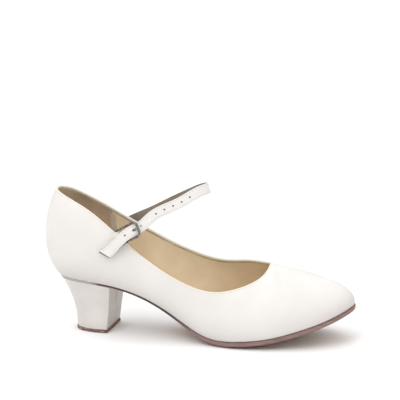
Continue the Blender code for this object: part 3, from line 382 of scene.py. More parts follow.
class Last:
    """The outside of the upper: a place on it is (k, w, side).

    k runs along the feather line from the back of the heel (0) to the toe tip (half), w from the
    feather line (0) up the wall to the ridge (1), and side is -1 on the lateral wall, 1 on the medial.
    """

    def __init__(self):
        t = table(SECTION_COLUMNS, SECTIONS)
        x = t["along"] * LENGTH
        lateral_y, medial_y = -t["lateral"] * BALL_WIDTH, t["medial"] * BALL_WIDTH
        lateral_step = np.hypot(np.diff(x), np.diff(lateral_y))
        medial_step = np.hypot(np.diff(x), np.diff(medial_y))
        knots = np.concatenate([[0.0], np.cumsum((lateral_step + medial_step) / 2)])
        self.half = knots[-1]
        floor = SOLE_THICKNESS + GAP + CAMBER
        z = floor + t["heel"] * HEEL_RISE + t["spring"] * TOE_SPRING
        shared = np.column_stack([
            z, t["ridge_along"] * LENGTH, t["ridge_side"] * BALL_WIDTH, z + t["ridge_up"] * INSTEP_HEIGHT,
            t["low_out"] * BALL_WIDTH / 2, t["low_up"] * INSTEP_HEIGHT,
            t["high_out"] * BALL_WIDTH, t["high_drop"] * INSTEP_HEIGHT])
        lateral = np.column_stack([x, lateral_y, shared])
        medial = np.column_stack([x, medial_y, shared])
        self.around = Spline(np.concatenate([knots, 2 * self.half - knots[-2:0:-1]]),
                             np.vstack([lateral, medial[-2:0:-1]]), 2 * self.half)
        self.fine_k = np.linspace(0, self.half, 1200)
        fine = self.around.at(self.fine_k)
        self.fine_x, self.fine_z = np.maximum.accumulate(fine[:, 0]), fine[:, 2]
        self.fine_lateral = fine[:, 1]
        self.fine_medial = self.around.at(2 * self.half - self.fine_k)[:, 1]

    def k_along(self, x):
        """The place along the feather line that is x from the heel's rearmost point."""
        return np.interp(x, self.fine_x, self.fine_k)

    def bottom(self, x, y):
        """Height of the underside: the feather line's, and rounded down between its two sides."""
        lateral = np.interp(x, self.fine_x, self.fine_lateral)
        medial = np.interp(x, self.fine_x, self.fine_medial)
        between = np.clip((y - lateral) * (medial - y), 0, None) / (BALL_WIDTH / 2) ** 2
        share = np.clip((x / LENGTH - CAMBER_FROM) / (CAMBER_FULL - CAMBER_FROM), 0, 1)
        hang = CAMBER * share * share * (3 - 2 * share) * between
        return np.interp(x, self.fine_x, self.fine_z) - hang

    def row(self, k, side):
        k = np.atleast_1d(np.asarray(k, float))
        return self.around.at(k if side < 0 else 2 * self.half - k)

    def feather(self, k, side, out=0.0):
        """The feather line, moved outwards over the floor by out."""
        step = 1e-5
        base = self.row(k, side)[:, :3]
        ahead, behind = self.row(np.asarray(k) + step, side), self.row(np.asarray(k) - step, side)
        along = unit(ahead[:, :2] - behind[:, :2])
        outward = np.column_stack([-side * along[:, 1], side * along[:, 0]])
        base[:, :2] += outward * np.reshape(out, (-1, 1))
        return base

    def at(self, k, w, side):
        row = self.row(k, side)
        w = np.atleast_1d(np.asarray(w, float))[:, None]
        base, ridge = row[:, :3], row[:, 3:6]
        step = 1e-3
        middle = np.clip(np.atleast_1d(k), 2 * step, self.half - RIDGE_END)
        ahead, behind = self.around.at(middle + step), self.around.at(middle - step)
        slope = (ahead[:, 5] - behind[:, 5]) / (ahead[:, 3] - behind[:, 3])
        out = unit(base[:, :2] - ridge[:, :2])
        low_out, low_up, high_out, drop = row[:, 6], row[:, 7], row[:, 8], np.maximum(row[:, 9], 0)
        follow = out[:, 0] * high_out * slope * np.clip(1 - drop / LEVEL_DROP, 0, 1)
        low = base + np.column_stack([out * low_out[:, None], low_up])
        high = ridge + np.column_stack([out * high_out[:, None], follow - drop])
        a = 1 - w
        return a ** 3 * base + 3 * a * a * w * low + 3 * a * w * w * high + w ** 3 * ridge

    def normal(self, k, w, side):
        step = 1e-4
        k, w = np.atleast_1d(k), np.atleast_1d(w)
        along = self.at(k + step, w, side) - self.at(k - step, w, side)
        up = self.at(k, w + step, side) - self.at(k, w - step, side)
        return unit(np.cross(along, up) * -side)

    def w_at(self, k, z, side):
        """How far up the wall height z is, at k."""
        low, high = 0.0, 1.0
        for _ in range(40):
            middle = (low + high) / 2
            if self.at(k, middle, side)[0, 2] < z:
                low = middle
            else:
                high = middle
        return (low + high) / 2

    def place(self, x, z, side):
        """The (k, w) of the wall's point that is at x and z."""
        k = float(self.k_along(x))
        w = 0.5
        for _ in range(12):
            w = self.w_at(k, z, side)
            k = k + x - float(self.at(k, w, side)[0, 0])
        return k, w

    @functools.lru_cache(maxsize=None)
    def topline(self, side, steps):
        """(k, w) along the topline from the back of the heel to the throat.

        The line is repeated as its own mirror image, so it crosses the middle squarely at both ends.
        """
        t = table(TOPLINE_COLUMNS, TOPLINE)
        ups = t["lateral_up"] if side < 0 else t["medial_up"]
        k = np.array([float(self.k_along(x)) for x in t["along"] * LENGTH])
        k[0] = 0.0
        base = self.row(k, side)[:, 2]
        w = np.array([self.w_at(k[i], base[i] + ups[i] * BACK_HEIGHT, side) for i in range(len(k))])
        k = np.append(k, float(self.k_along(THROAT * LENGTH)))
        w = np.append(w, 1.0)
        knots = np.concatenate([[0.0], np.cumsum(np.hypot(np.diff(k), np.diff(w) * WALL_SPACING))])
        end = knots[-1]
        whole_k = np.concatenate([k, k[-2::-1], -k[1:], -k[-2:0:-1]])
        whole_w = np.concatenate([w, 2 - w[-2::-1], 2 - w[1:], w[-2:0:-1]])
        whole_knots = np.concatenate([knots, 2 * end - knots[-2::-1], 2 * end + knots[1:],
                                      4 * end - knots[-2:0:-1]])
        whole = Spline(whole_knots, np.column_stack([whole_k, whole_w]), 4 * end)
        line = whole.at(np.linspace(0, end, steps + 1))
        return np.clip(line[:, 0], 0, None), np.clip(line[:, 1], 0, 1)

    @functools.lru_cache(maxsize=None)
    def topline_point(self, x, side):
        """Where the topline is x from the heel's rearmost point."""
        k, w = self.topline(side, 200)
        points = self.at(k, w, side)
        i = int(np.argmin(abs(points[:, 0] - x)))
        return points[i]


LAST = Last()
SEAT_BACK = float(LAST.feather(0.0, -1)[0, 0])
TIP_BACK = SEAT_BACK + HEEL_PITCH
TIP_FRONT = TIP_BACK + TIP_LENGTH
BREAST = TIP_FRONT + BREAST_LEAN
ORIGIN = np.array([(TIP_BACK + TIP_FRONT) / 2, 0.0, 0.0])


def sole_under(x, y):
    """Height of the sole's underside: flat where the tread is ground."""
    t = table(SOLE_COLUMNS, SOLE)
    thickness = SOLE_THICKNESS * np.interp(x / LENGTH, t["along"], t["thickness"])
    ground = TREAD_GROUND * np.interp(x / LENGTH, [CAMBER_FROM, CAMBER_FULL], [0, 1])
    return np.maximum(LAST.bottom(x, y) - GAP - thickness - ground, 0.0)


def sole_edge(k):
    t = table(SOLE_COLUMNS, SOLE)
    x = LAST.row(k, -1)[:, 0]
    return SOLE_EDGE * np.interp(x / LENGTH, t["along"], t["edge"])


# Materials

class Look:
    """A material whose nodes read the piece's own place in metres."""

    def __init__(self, name, roughness, metallic=0.0, specular=0.5):
        self.material = bpy.data.materials.new(name)
        self.material.use_nodes = True
        self.nodes = self.material.node_tree.nodes
        self.links = self.material.node_tree.links
        self.shader = self.nodes["Principled BSDF"]
        self.shader.inputs["Roughness"].default_value = roughness
        self.shader.inputs["Metallic"].default_value = metallic
        self.shader.inputs["Specular IOR Level"].default_value = specular
        self.place = self.nodes.new("ShaderNodeTexCoord").outputs["Object"]
        self.height = None

    def stretched(self, scales):
        """The place with each axis scaled by its own number."""
        mapping = self.nodes.new("ShaderNodeMapping")
        mapping.inputs["Scale"].default_value = scales
        self.links.new(self.place, mapping.inputs["Vector"])
        return mapping.outputs["Vector"]

    def noise(self, size, detail=3.0, place=None):
        """Soft noise whose features are about size metres across."""
        node = self.nodes.new("ShaderNodeTexNoise")
        node.inputs["Scale"].default_value = 1.0 / size
        node.inputs["Detail"].default_value = detail
        self.links.new(place or self.place, node.inputs["Vector"])
        return node.outputs["Fac"]

    def cells(self, size):
        """Distance to the middle of the nearest of many small cells."""
        node = self.nodes.new("ShaderNodeTexVoronoi")
        node.inputs["Scale"].default_value = 1.0 / size
        self.links.new(self.place, node.inputs["Vector"])
        return node.outputs["Distance"]

    def waves(self, size, axis, distortion=0.0):
        node = self.nodes.new("ShaderNodeTexWave")
        node.bands_direction = axis
        node.inputs["Scale"].default_value = 1.0 / size / 3.2
        node.inputs["Distortion"].default_value = distortion
        self.links.new(self.place, node.inputs["Vector"])
        return node.outputs["Fac"]

    def along(self):
        """The place's x."""
        node = self.nodes.new("ShaderNodeSeparateXYZ")
        self.links.new(self.place, node.inputs["Vector"])
        return node.outputs["X"]

    def attribute(self, name):
        node = self.nodes.new("ShaderNodeAttribute")
        node.attribute_name = name
        return node.outputs["Fac"]

    def ramp(self, factor, stops):
        """Colours between (place, colour) stops."""
        node = self.nodes.new("ShaderNodeValToRGB")
        while len(node.color_ramp.elements) < len(stops):
            node.color_ramp.elements.new(0.5)
        for element, (where, colour) in zip(node.color_ramp.elements, stops):
            element.position = where
            element.color = (*colour, 1.0)
        self.links.new(factor, node.inputs["Fac"])
        return node.outputs["Color"]

    def levels(self, factor, low, high, to_low, to_high):
        node = self.nodes.new("ShaderNodeMapRange")
        for name, value in (("From Min", low), ("From Max", high), ("To Min", to_low), ("To Max", to_high)):
            node.inputs[name].default_value = value
        self.links.new(factor, node.inputs["Value"])
        return node.outputs["Result"]

    def mix(self, factor, first, second):
        """The first colour, and the second where the factor is 1."""
        node = self.nodes.new("ShaderNodeMix")
        node.data_type = "RGBA"
        self.links.new(factor, node.inputs["Factor"])
        for socket, colour in ((node.inputs[6], first), (node.inputs[7], second)):
            if isinstance(colour, tuple):
                socket.default_value = (*colour, 1.0)
            else:
                self.links.new(colour, socket)
        return node.outputs[2]

    def colour(self, output):
        self.links.new(output, self.shader.inputs["Base Color"])

    def roughness(self, output):
        self.links.new(output, self.shader.inputs["Roughness"])

    def bump(self, height, depth, strength=1.0):
        """Relief depth metres deep, laid over what is there already."""
        node = self.nodes.new("ShaderNodeBump")
        node.inputs["Distance"].default_value = depth
        node.inputs["Strength"].default_value = strength
        self.links.new(height, node.inputs["Height"])
        if self.height is not None:
            self.links.new(self.height, node.inputs["Normal"])
        self.height = node.outputs["Normal"]
        self.links.new(self.height, self.shader.inputs["Normal"])


def smooth_leather(name, light, tired, soiled_and_shaded):
    """Finished leather: fine grain, faint yellowing, and a darker colour where its per-point attribute asks
    for it: soil, and painted shade low on the walls.
    """
    look = Look(name, 0.40, specular=0.42)
    cloudy = look.ramp(look.noise(0.030, 4.0), ((0.30, tired), (0.62, light)))
    scuffs = look.levels(look.noise(0.0045, 6.0), 0.58, 0.74, 0.0, 0.35)
    worn_and_shaded = look.mix(look.attribute("wear_and_painted_shade"), cloudy, soiled_and_shaded)
    look.colour(look.mix(scuffs, worn_and_shaded, tired))
    look.roughness(look.levels(look.noise(0.008, 4.0), 0.3, 0.7, 0.34, 0.48))
    look.bump(look.noise(0.012, 3.0), 0.00025, 0.35)
    look.bump(look.cells(0.0007), 0.00004, 0.30)
    look.bump(look.noise(0.00022, 2.0), 0.00002, 0.30)
    return look.material


def lining_leather(name, light, dark, stained):
    look = Look(name, 0.62, specular=0.30)
    tone = look.ramp(look.noise(0.016, 5.0), ((0.30, dark), (0.66, light)))
    spots = look.levels(look.noise(0.006, 5.0), 0.52, 0.72, 0.0, 0.55)
    look.colour(look.mix(spots, tone, stained))
    look.roughness(look.levels(look.noise(0.004, 4.0), 0.3, 0.7, 0.50, 0.72))
    look.bump(look.cells(0.0009), 0.00005, 0.45)
    look.bump(look.noise(0.006, 4.0), 0.00030, 0.30)
    return look.material


def lining_cloth(name, light, dark):
    """Twill: two sets of fine ribs, with soft wear."""
    look = Look(name, 0.78, specular=0.22)
    look.shader.inputs["Sheen Weight"].default_value = 0.15
    thread = look.waves(0.00055, "DIAGONAL", 0.6)
    tone = look.ramp(look.noise(0.020, 5.0), ((0.28, dark), (0.68, light)))
    look.colour(look.mix(look.levels(thread, 0.0, 1.0, 0.0, 0.16), tone, dark))
    look.bump(thread, 0.00006, 0.5)
    look.bump(look.waves(0.00055, "X", 0.4), 0.00004, 0.4)
    return look.material


def sole_edge_leather():
    """The stained edge: layers along the sole, darker at its two corners with painted shade, and darker at the
    waist.
    """
    look = Look("sole_edge", 0.52, specular=0.35)
    layers = look.noise(0.0035, 5.0, look.stretched((0.25, 0.25, 5.0)))
    stain = look.ramp(layers, ((0.25, (0.17, 0.098, 0.090)), (0.55, (0.28, 0.170, 0.157)),
                               (0.80, (0.38, 0.255, 0.230))))
    edge = look.mix(look.attribute("wear_and_painted_shade"), stain, (0.050, 0.028, 0.026))
    # at the seat the edge is a pale grey: painted soft shade
    ahead_of_seat = look.levels(look.along(), *SEAT_EDGE_FADES, 0.0, 1.0)
    look.colour(look.mix(ahead_of_seat, (0.50, 0.45, 0.41), edge))
    look.bump(layers, 0.00012, 0.5)
    return look.material


def sole_tread_leather():
    """The walked-on underside: pale where it is scraped, dark where it is polished."""
    look = Look("sole_tread", 0.66, specular=0.28)
    ground = look.ramp(look.noise(0.022, 6.0), ((0.30, (0.20, 0.115, 0.070)), (0.62, (0.36, 0.225, 0.145))))
    scratches = look.noise(0.0016, 5.0, look.stretched((0.25, 2.2, 1.0)))
    marks = look.levels(scratches, 0.54, 0.66, 0.0, 0.6)
    grey = look.mix(look.attribute("wear_and_painted_shade"), ground, (0.085, 0.070, 0.062))
    look.colour(look.mix(marks, grey, (0.42, 0.31, 0.22)))
    look.bump(scratches, 0.00012, 0.6)
    look.roughness(look.levels(scratches, 0.3, 0.7, 0.52, 0.8))
    return look.material


def tip_leather():
    """The stacked and frayed top piece: brown layers with pinkish raw fibre between."""
    look = Look("heel_tip_layers", 0.74, specular=0.2)
    layers = look.noise(0.0022, 6.0, look.stretched((0.6, 0.6, 3.4)))
    look.colour(look.ramp(layers, ((0.32, (0.070, 0.040, 0.035)), (0.50, (0.205, 0.118, 0.102)),
                                   (0.66, (0.43, 0.31, 0.28)))))
    look.bump(layers, 0.00035, 0.8)
    look.bump(look.noise(0.0005, 4.0), 0.00012, 0.7)
    return look.material


def wire_steel():
    look = Look("dark_steel_wire", 0.30, metallic=1.0)
    tarnish = look.noise(0.0024, 5.0)
    look.colour(look.ramp(tarnish, ((0.34, (0.085, 0.078, 0.074)), (0.62, (0.30, 0.285, 0.275)))))
    look.roughness(look.levels(tarnish, 0.3, 0.7, 0.42, 0.22))
    look.bump(look.noise(0.0004, 3.0), 0.00002, 0.5)
    return look.material


def thread_look():
    look = Look("thread", 0.62, specular=0.25)
    twist = look.waves(0.00032, "DIAGONAL", 0.5)
    look.colour(look.ramp(twist, ((0.0, (0.44, 0.41, 0.36)), (1.0, (0.68, 0.65, 0.59)))))
    look.bump(twist, 0.00005, 0.6)
    return look.material


# the white leather's darker colour is for soil and for painted shade low on the upper
WHITE = smooth_leather("white_leather", (0.770, 0.745, 0.718), (0.728, 0.698, 0.662), (0.52, 0.475, 0.445))
BINDING = smooth_leather("topline_leather", (0.78, 0.745, 0.67), (0.70, 0.655, 0.56), (0.50, 0.45, 0.36))
# the heel cover is the white leather made darker: painted shade of the heel under the shoe, with some soil
SHADED_HEEL_LEATHER = smooth_leather("heel_leather_painted_shade", (0.69, 0.66, 0.625), (0.60, 0.565, 0.53), (0.46, 0.40, 0.35))
STRAP_BACK = lining_leather("strap_backing", (0.27, 0.23, 0.19), (0.22, 0.185, 0.15), (0.18, 0.15, 0.12))
# dark raw edge for cut faces, and painted shadow on a strap's last steps
RAW_EDGE_AND_SHADOW = lining_leather("raw_edge_and_painted_shadow", (0.15, 0.125, 0.11), (0.09, 0.075, 0.065), (0.06, 0.05, 0.045))
FRONT_LINING = lining_cloth("front_lining", (0.84, 0.71, 0.52), (0.73, 0.60, 0.41))
BACK_LINING = lining_leather("back_lining", (0.54, 0.42, 0.30), (0.37, 0.285, 0.20), (0.44, 0.28, 0.17))
SEAM_LEATHER = lining_leather("seam_band", (0.60, 0.54, 0.45), (0.48, 0.43, 0.35), (0.40, 0.34, 0.27))
TAPE = lining_leather("olive_tape", (0.56, 0.51, 0.36), (0.42, 0.38, 0.25), (0.32, 0.28, 0.17))
SOCK = lining_leather("sock", (0.83, 0.67, 0.50), (0.73, 0.57, 0.41), (0.61, 0.45, 0.32))
SOLE_SIDE = sole_edge_leather()
TREAD = sole_tread_leather()
TIP = tip_leather()
STEEL = wire_steel()
THREAD = thread_look()


# Mesh helpers

def put(name, shape, looks):
    """An object from a bmesh, riding on the shoe."""
    mesh = bpy.data.meshes.new(name)
    shape.to_mesh(mesh)
    shape.free()
    mesh.shade_smooth()
    mesh.set_sharp_from_angle(angle=math.radians(SHARP_ANGLE))
    made = bpy.data.objects.new(name, mesh)
    for look in looks:
        mesh.materials.append(look)
    bpy.context.scene.collection.objects.link(made)
    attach(made, "root")
    return made


def grids_to_shape(grids, wear_and_painted_shade=None, look_of=None):
    """A bmesh from grids of points whose shared edges are merged. The darkening function, called with (grid,
    grid number), gives the soil, polish and painted shade at each point, and look_of(grid number, middle) the
    number of a face's look."""
    shape = bmesh.new()
    soil_and_shade = shape.verts.layers.float.new("wear_and_painted_shade")
    for number, grid in enumerate(grids):
        grid = np.asarray(grid)
        worn_and_shaded = wear_and_painted_shade(grid, number) if wear_and_painted_shade else np.zeros(grid.shape[:2])
        rows = []
        for line, line_worn_and_shaded in zip(grid - ORIGIN, worn_and_shaded):
            row = [shape.verts.new(point) for point in line]
            for vert, value in zip(row, line_worn_and_shaded):
                vert[soil_and_shade] = float(value)
            rows.append(row)
        for r in range(len(rows) - 1):
            for c in range(len(rows[r]) - 1):
                face = shape.faces.new((rows[r][c], rows[r][c + 1], rows[r + 1][c + 1], rows[r + 1][c]))
                if look_of:
                    middle = (grid[r, c] + grid[r + 1, c + 1]) / 2
                    face.material_index = look_of(number, middle)
    bmesh.ops.remove_doubles(shape, verts=shape.verts, dist=2e-6)
    bmesh.ops.recalc_face_normals(shape, faces=shape.faces)
    return shape


def layered_grids(layers):
    """The grids of a closed solid through layers, top first: lateral, medial and front edge, top, bottom."""
    lateral = np.array([layer[:, 0] for layer in layers])
    medial = np.array([layer[:, -1] for layer in layers])
    front = np.array([layer[-1] for layer in layers])
    return [lateral, medial, front, layers[0], layers[-1]]


def ladder(k, out, steps, height):
    """A layer over the bottom: a rung at each k, at the heights that height(x, y) gives."""
    lateral, medial = LAST.feather(k, -1, out), LAST.feather(k, 1, out)
    share = np.linspace(0, 1, steps + 1)[None, :, None]
    layer = lateral[:, None, :] * (1 - share) + medial[:, None, :] * share
    layer[:, :, 2] = height(layer[:, :, 0], layer[:, :, 1])
    return layer


def tube(points, radii, sides, closed):
    """A bmesh round a line through points, each with its own radius."""
    points = np.asarray(points, float)
    count = len(points)
    if closed:
        along = unit(np.roll(points, -1, axis=0) - np.roll(points, 1, axis=0))
    else:
        along = unit(np.gradient(points, axis=0))
    across = np.cross(along[0], [0.0, 0.0, 1.0])
    rings = []
    shape = bmesh.new()
    shape.verts.layers.float.new("wear_and_painted_shade")
    for i in range(count):
        across = unit(across - along[i] * np.dot(across, along[i]))
        other = np.cross(along[i], across)
        ring = []
        for turn in np.linspace(0, 2 * math.pi, sides, endpoint=False):
            offset = (across * math.cos(turn) + other * math.sin(turn)) * radii[i]
            ring.append(shape.verts.new(points[i] + offset - ORIGIN))
        rings.append(ring)
    pairs = list(zip(rings, rings[1:]))
    if closed:
        pairs.append((rings[-1], turned_to(rings[0], rings[-1])))
    for low, high in pairs:
        for i in range(sides):
            j = (i + 1) % sides
            shape.faces.new((low[i], low[j], high[j], high[i]))
    if not closed:
        shape.faces.new(rings[0])
        shape.faces.new(rings[-1])
    bmesh.ops.recalc_face_normals(shape, faces=shape.faces)
    return shape


def turned_to(ring, other):
    """The ring's vertices, started from the one nearest the other ring's first."""
    nearest = min(range(len(ring)), key=lambda i: (ring[i].co - other[0].co).length)
    return ring[nearest:] + ring[:nearest]


def placed_at(middle, *directions):
    """The matrix that lays a shape's own axes along three directions, at a point of the last."""
    turn = Matrix([[*row] for row in np.array(directions).T]).to_4x4()
    return Matrix.Translation(Vector(middle - ORIGIN)) @ turn


# Upper, its lining and its edges

def relief(points, k):
    """How far creases and the back seam move the leather outwards."""
    t = table(CREASE_COLUMNS, CREASES)
    moved = np.zeros(len(points))
    for x0, y0, x1, y1, width, depth in zip(*(t[name] for name in CREASE_COLUMNS)):
        start, run = np.array([x0, y0]), np.array([x1 - x0, y1 - y0])
        share = np.clip((points[:, :2] - start) @ run / (run @ run), 0, 1)
        away = np.linalg.norm(points[:, :2] - start - share[:, None] * run, axis=1)
        taper = CREASE_ENDS + (1 - CREASE_ENDS) * np.sin(math.pi * share)
        moved -= depth * taper * np.exp(-(away / width) ** 2)
    return moved - BACK_SEAM_DEPTH * np.exp(-(k / BACK_SEAM_WIDTH) ** 2)


def wall_point(k, w, side):
    """Points of the finished leather's outside. The walls meet at the toe tip, where the ridge has no
    direction of its own, so the normal there is the one just behind it."""
    points = LAST.at(k, w, side)
    k = np.atleast_1d(k)
    shown = np.clip(w / RELIEF_FROM, 0, 1)
    normal = LAST.normal(np.minimum(k, LAST.half - RIDGE_END), w, side)
    return points + normal * (relief(points, k) * shown)[:, None]


def soil_and_shade_of(points):
    """Where the upper is darker: soil and painted shade along the feather line, more at the heel and the toe.
    """
    x = points[..., 0]
    height = points[..., 2] - np.interp(x, LAST.fine_x, LAST.fine_z)
    near_sole = np.exp(-np.clip(height, 0, None) / SOIL_AND_SHADE_HEIGHT)
    much = np.full_like(x, SOIL_AND_SHADE_EVERYWHERE)
    for middle, width, more in SOIL_AND_SHADE_SPOTS:
        much += more * np.exp(-((x - middle) / width) ** 2)
    return np.clip(near_sole * much, 0, 1)


def build_upper():
    throat_k = float(LAST.k_along(THROAT * LENGTH))
    throat_k += THROAT_FAN * (LAST.half - throat_k)
    grids = []
    for side in (-1, 1):
        line_k, line_w = LAST.topline(side, TOPLINE_STEPS)
        ridge_k = np.linspace(line_k[-1], LAST.half, RIDGE_STEPS + 1)[1:]
        top_k = np.concatenate([line_k, ridge_k])
        top_w = np.concatenate([line_w, np.ones(RIDGE_STEPS)])
        base_k = np.concatenate([np.linspace(0, throat_k, TOPLINE_STEPS + 1),
                                 np.linspace(throat_k, LAST.half, RIDGE_STEPS + 1)[1:]])
        rows = []
        for share in MARGIN_ROWS:
            line = LAST.feather(base_k, side, -LASTING_MARGIN * share)
            line[:, 2] = LAST.bottom(line[:, 0], line[:, 1])
            rows.append(line)
        for rise in np.linspace(0, 1, WALL_STEPS + 1):
            rows.append(wall_point(base_k + (top_k - base_k) * rise, top_w * rise, side))
        grids.append(rows)
    for lateral, medial in zip(*grids):
        for end in (0, -1):
            lateral[end] = medial[end] = (lateral[end] + medial[end]) / 2
    lateral, medial = grids[0][-1], grids[1][-1]
    ridge = (lateral[TOPLINE_STEPS:] + medial[TOPLINE_STEPS:]) / 2
    lateral[TOPLINE_STEPS:] = ridge
    medial[TOPLINE_STEPS:] = ridge

    def look_of(number, middle):
        return 0 if middle[0] > LINING_SEAM else 2

    # the upper's soil and painted shade, darker towards the feather line
    shape = grids_to_shape(grids, lambda grid, number: soil_and_shade_of(grid), look_of)
    upper = put("upper_leather", shape, [WHITE, FRONT_LINING, WHITE, BACK_LINING])
    shell = upper.modifiers.new("wall", "SOLIDIFY")
    shell.thickness = UPPER_WALL
    shell.offset = -1.0
    shell.use_even_offset = True
    shell.material_offset = 1
    shell.material_offset_rim = 0
    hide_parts("upper")


def topline_loop(below, depth):
    """Points round the whole collar, below metres under the topline and depth metres inside the leather."""
    points = []
    for side in (-1, 1):
        k, w = LAST.topline(side, TOPLINE_STEPS)
        step = 1e-3
        climb = np.linalg.norm(LAST.at(k, w, side) - LAST.at(k, w - step, side), axis=1) / step
        w = w - below / climb
        line, normal = wall_point(k, w, side), LAST.normal(k, w, side)
        if side > 0:
            line, normal = line[-2:0:-1], normal[-2:0:-1]
        points.append(line - normal * depth)
    return np.vstack(points)


def build_topline_edge():
    points = topline_loop(EDGE_BELOW, UPPER_WALL / 2)
    radius = UPPER_WALL / 2 + EDGE_ROLL
    shape = tube(points, [radius] * len(points), EDGE_SIDES, True)
    put("topline_edge", shape, [BINDING])


def build_topline_tape():
    """The tape just inside the collar, a closed strip that lies on the lining."""
    rows = []
    for below, depth in ((TAPE_FROM, 0.0), (TAPE_FROM + TAPE_CORNER, TAPE_THICKNESS),
                         (TAPE_WIDTH, TAPE_THICKNESS), (TAPE_WIDTH, 0.0)):
        line = topline_loop(below, UPPER_WALL + depth)
        rows.append(np.vstack([line, line[:1]]))
    shape = grids_to_shape([np.array(rows + rows[:1])])
    put("topline_tape", shape, [TAPE])


def build_lining_seam():
    """Bands over the joint of the back and the front lining, one on each inner wall."""
    grids = []
    for side in (-1, 1):
        line_k, line_w = LAST.topline(side, TOPLINE_STEPS)
        middle = float(LAST.k_along(LINING_SEAM))
        k = middle + LINING_SEAM_WIDTH * np.linspace(-0.5, 0.5, len(SEAM_PROFILE))
        top = np.interp(k, line_k, line_w)
        inside = UPPER_WALL + SEAM_LIFT + SEAM_CROWN * np.array(SEAM_PROFILE)
        rows = []
        for share in np.linspace(SEAM_FROM, SEAM_TO, SEAM_STEPS):
            w = top * share
            rows.append(LAST.at(k, w, side) - LAST.normal(k, w, side) * inside[:, None])
        grids.append(rows)
    put("lining_seam", grids_to_shape(grids), [SEAM_LEATHER])


# Bottom

def build_sock():
    k = np.linspace(0, LAST.half, BOTTOM_STEPS + 1)
    inset = UPPER_WALL + INSOLE_ROOM
    lift = UPPER_WALL + 2 * GAP
    layers = []
    for further, up in SOCK_EDGE:
        layers.append(ladder(k, -(inset + further), RUNG_STEPS,
                             lambda x, y: LAST.bottom(x, y) + lift + INSOLE_THICKNESS * up))
    sock = put("sock", grids_to_shape(layered_grids(layers)), [SOCK])
    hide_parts("insole")


def build_sole():
    k = np.linspace(0, LAST.half, BOTTOM_STEPS + 1)
    edge = sole_edge(k)
    top = ladder(k, edge - SOLE_TOP_INSET, RUNG_STEPS, lambda x, y: LAST.bottom(x, y) - GAP)
    under = ladder(k, edge - SOLE_EDGE / 2 - SOLE_UNDER_INSET, RUNG_STEPS, sole_under)
    layers = [top]
    for share, out in SOLE_LAYERS:
        layer = top + (under - top) * share
        for column, side in ((0, -1), (-1, 1)):
            rim = LAST.feather(k, side, edge + out)
            layer[:, column, :2] = rim[:, :2]
        layers.append(layer)
    layers.append(under)

    def wear_and_painted_shade(grid, number):
        # the edge gets painted shade at its top and bottom corners, and is darker at the waist
        if number < EDGE_GRIDS:
            corners = np.abs(np.linspace(-1, 1, grid.shape[0]))[:, None] ** CORNER_SHARPNESS
            waist = np.clip((WAIST_ENDS - grid[:, :, 0] / LENGTH) / WAIST_FADES, 0, 1)
            return np.clip(corners * CORNER_SHADE + waist * WAIST_DARKENING, 0, 1)
        return np.exp(-(grid[:, :, 2] / TREAD_POLISH_HEIGHT) ** 2) * TREAD_POLISH

    shape = grids_to_shape(layered_grids(layers), wear_and_painted_shade, lambda number, middle: int(number >= EDGE_GRIDS))
    sole = put("leather_sole", shape, [SOLE_SIDE, TREAD])
    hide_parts("outsole")


def tip_outline(z, grow=0.0):
    """The tip's outline as rungs at height z: a half superellipse from the back to the front corners."""
    turn = np.linspace(0, math.pi / 2, HEEL_STEPS + 1)
    x = TIP_FRONT + grow - (TIP_LENGTH + 2 * grow) * np.cos(turn) ** (2 / TIP_FULLNESS)
    y = (TIP_WIDTH / 2 + grow) * np.sin(turn) ** (2 / TIP_FULLNESS)
    return np.stack([np.column_stack([x, side * y, np.full_like(x, z)]) for side in (-1, 1)], axis=1)


def build_heel():
    share = np.linspace(0, 1, HEEL_STEPS + 1)
    k = share * float(LAST.k_along(BREAST))
    edge = sole_edge(k) - HEEL_INSET
    top = ladder(k, edge, 1, sole_under)
    top[-1, :, 0] = BREAST
    top[-1, :, 2] = sole_under(BREAST, 0.0)
    top[:, :, 2] -= GAP
    foot = tip_outline(TIP_THICKNESS + GAP)
    layers = []
    for down in np.linspace(0, 1, BLOCK_STEPS + 1):
        flare = 1 - (1 - down) ** HEEL_FLARE
        forward = flare + (down - flare) * share[:, None] ** 2
        layer = top + (foot - top) * down
        layer[:, :, 0] = top[:, :, 0] + (foot - top)[:, :, 0] * forward
        layer[:, :, 1] = top[:, :, 1] + (foot - top)[:, :, 1] * flare
        layers.append(layer)

    def wear_and_painted_shade(grid, number):
        # darker low on the block, soil and painted shade, and painted shade on the breast
        low = np.exp(-(grid[:, :, 2] - TIP_THICKNESS) / HEEL_SOIL_AND_SHADE_HEIGHT)
        corner = np.exp(-((grid[:, :, 0] - BREAST) / BREAST_SHADE_WIDTH) ** 2)
        return np.clip(HEEL_SOIL_AND_SHADE * low + BREAST_SHADE * corner, 0, 1)

    heel = put("covered_heel", grids_to_shape(layered_grids(layers), wear_and_painted_shade), [SHADED_HEEL_LEATHER])
    soften = heel.modifiers.new("folded edges", "BEVEL")
    soften.width = HEEL_FOLD
    soften.segments = 3
    soften.limit_method = "ANGLE"
    soften.angle_limit = math.radians(SHARP_ANGLE)
    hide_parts("heel")


def build_heel_seam():
    """The cover's joint down the upper middle of the breast: two lips that meet."""
    high, low = sole_under(BREAST, 0.0) - GAP, TIP_THICKNESS + GAP
    points = []
    for down in np.linspace(COVER_SEAM_FROM, COVER_SEAM_TO, COVER_SEAM_STEPS):
        x = BREAST + (TIP_FRONT - BREAST) * down
        y = COVER_SEAM_SIDE + COVER_SEAM_WANDER * math.sin(6 * down)
        points.append([x, y, high + (low - high) * down])
    radii = [COVER_SEAM_RADIUS * math.sin(math.pi * share) ** 0.5
             for share in np.linspace(0.08, 0.92, COVER_SEAM_STEPS)]
    put("heel_cover_seam", tube(points, radii, COVER_SEAM_SIDES, False), [SHADED_HEEL_LEATHER])


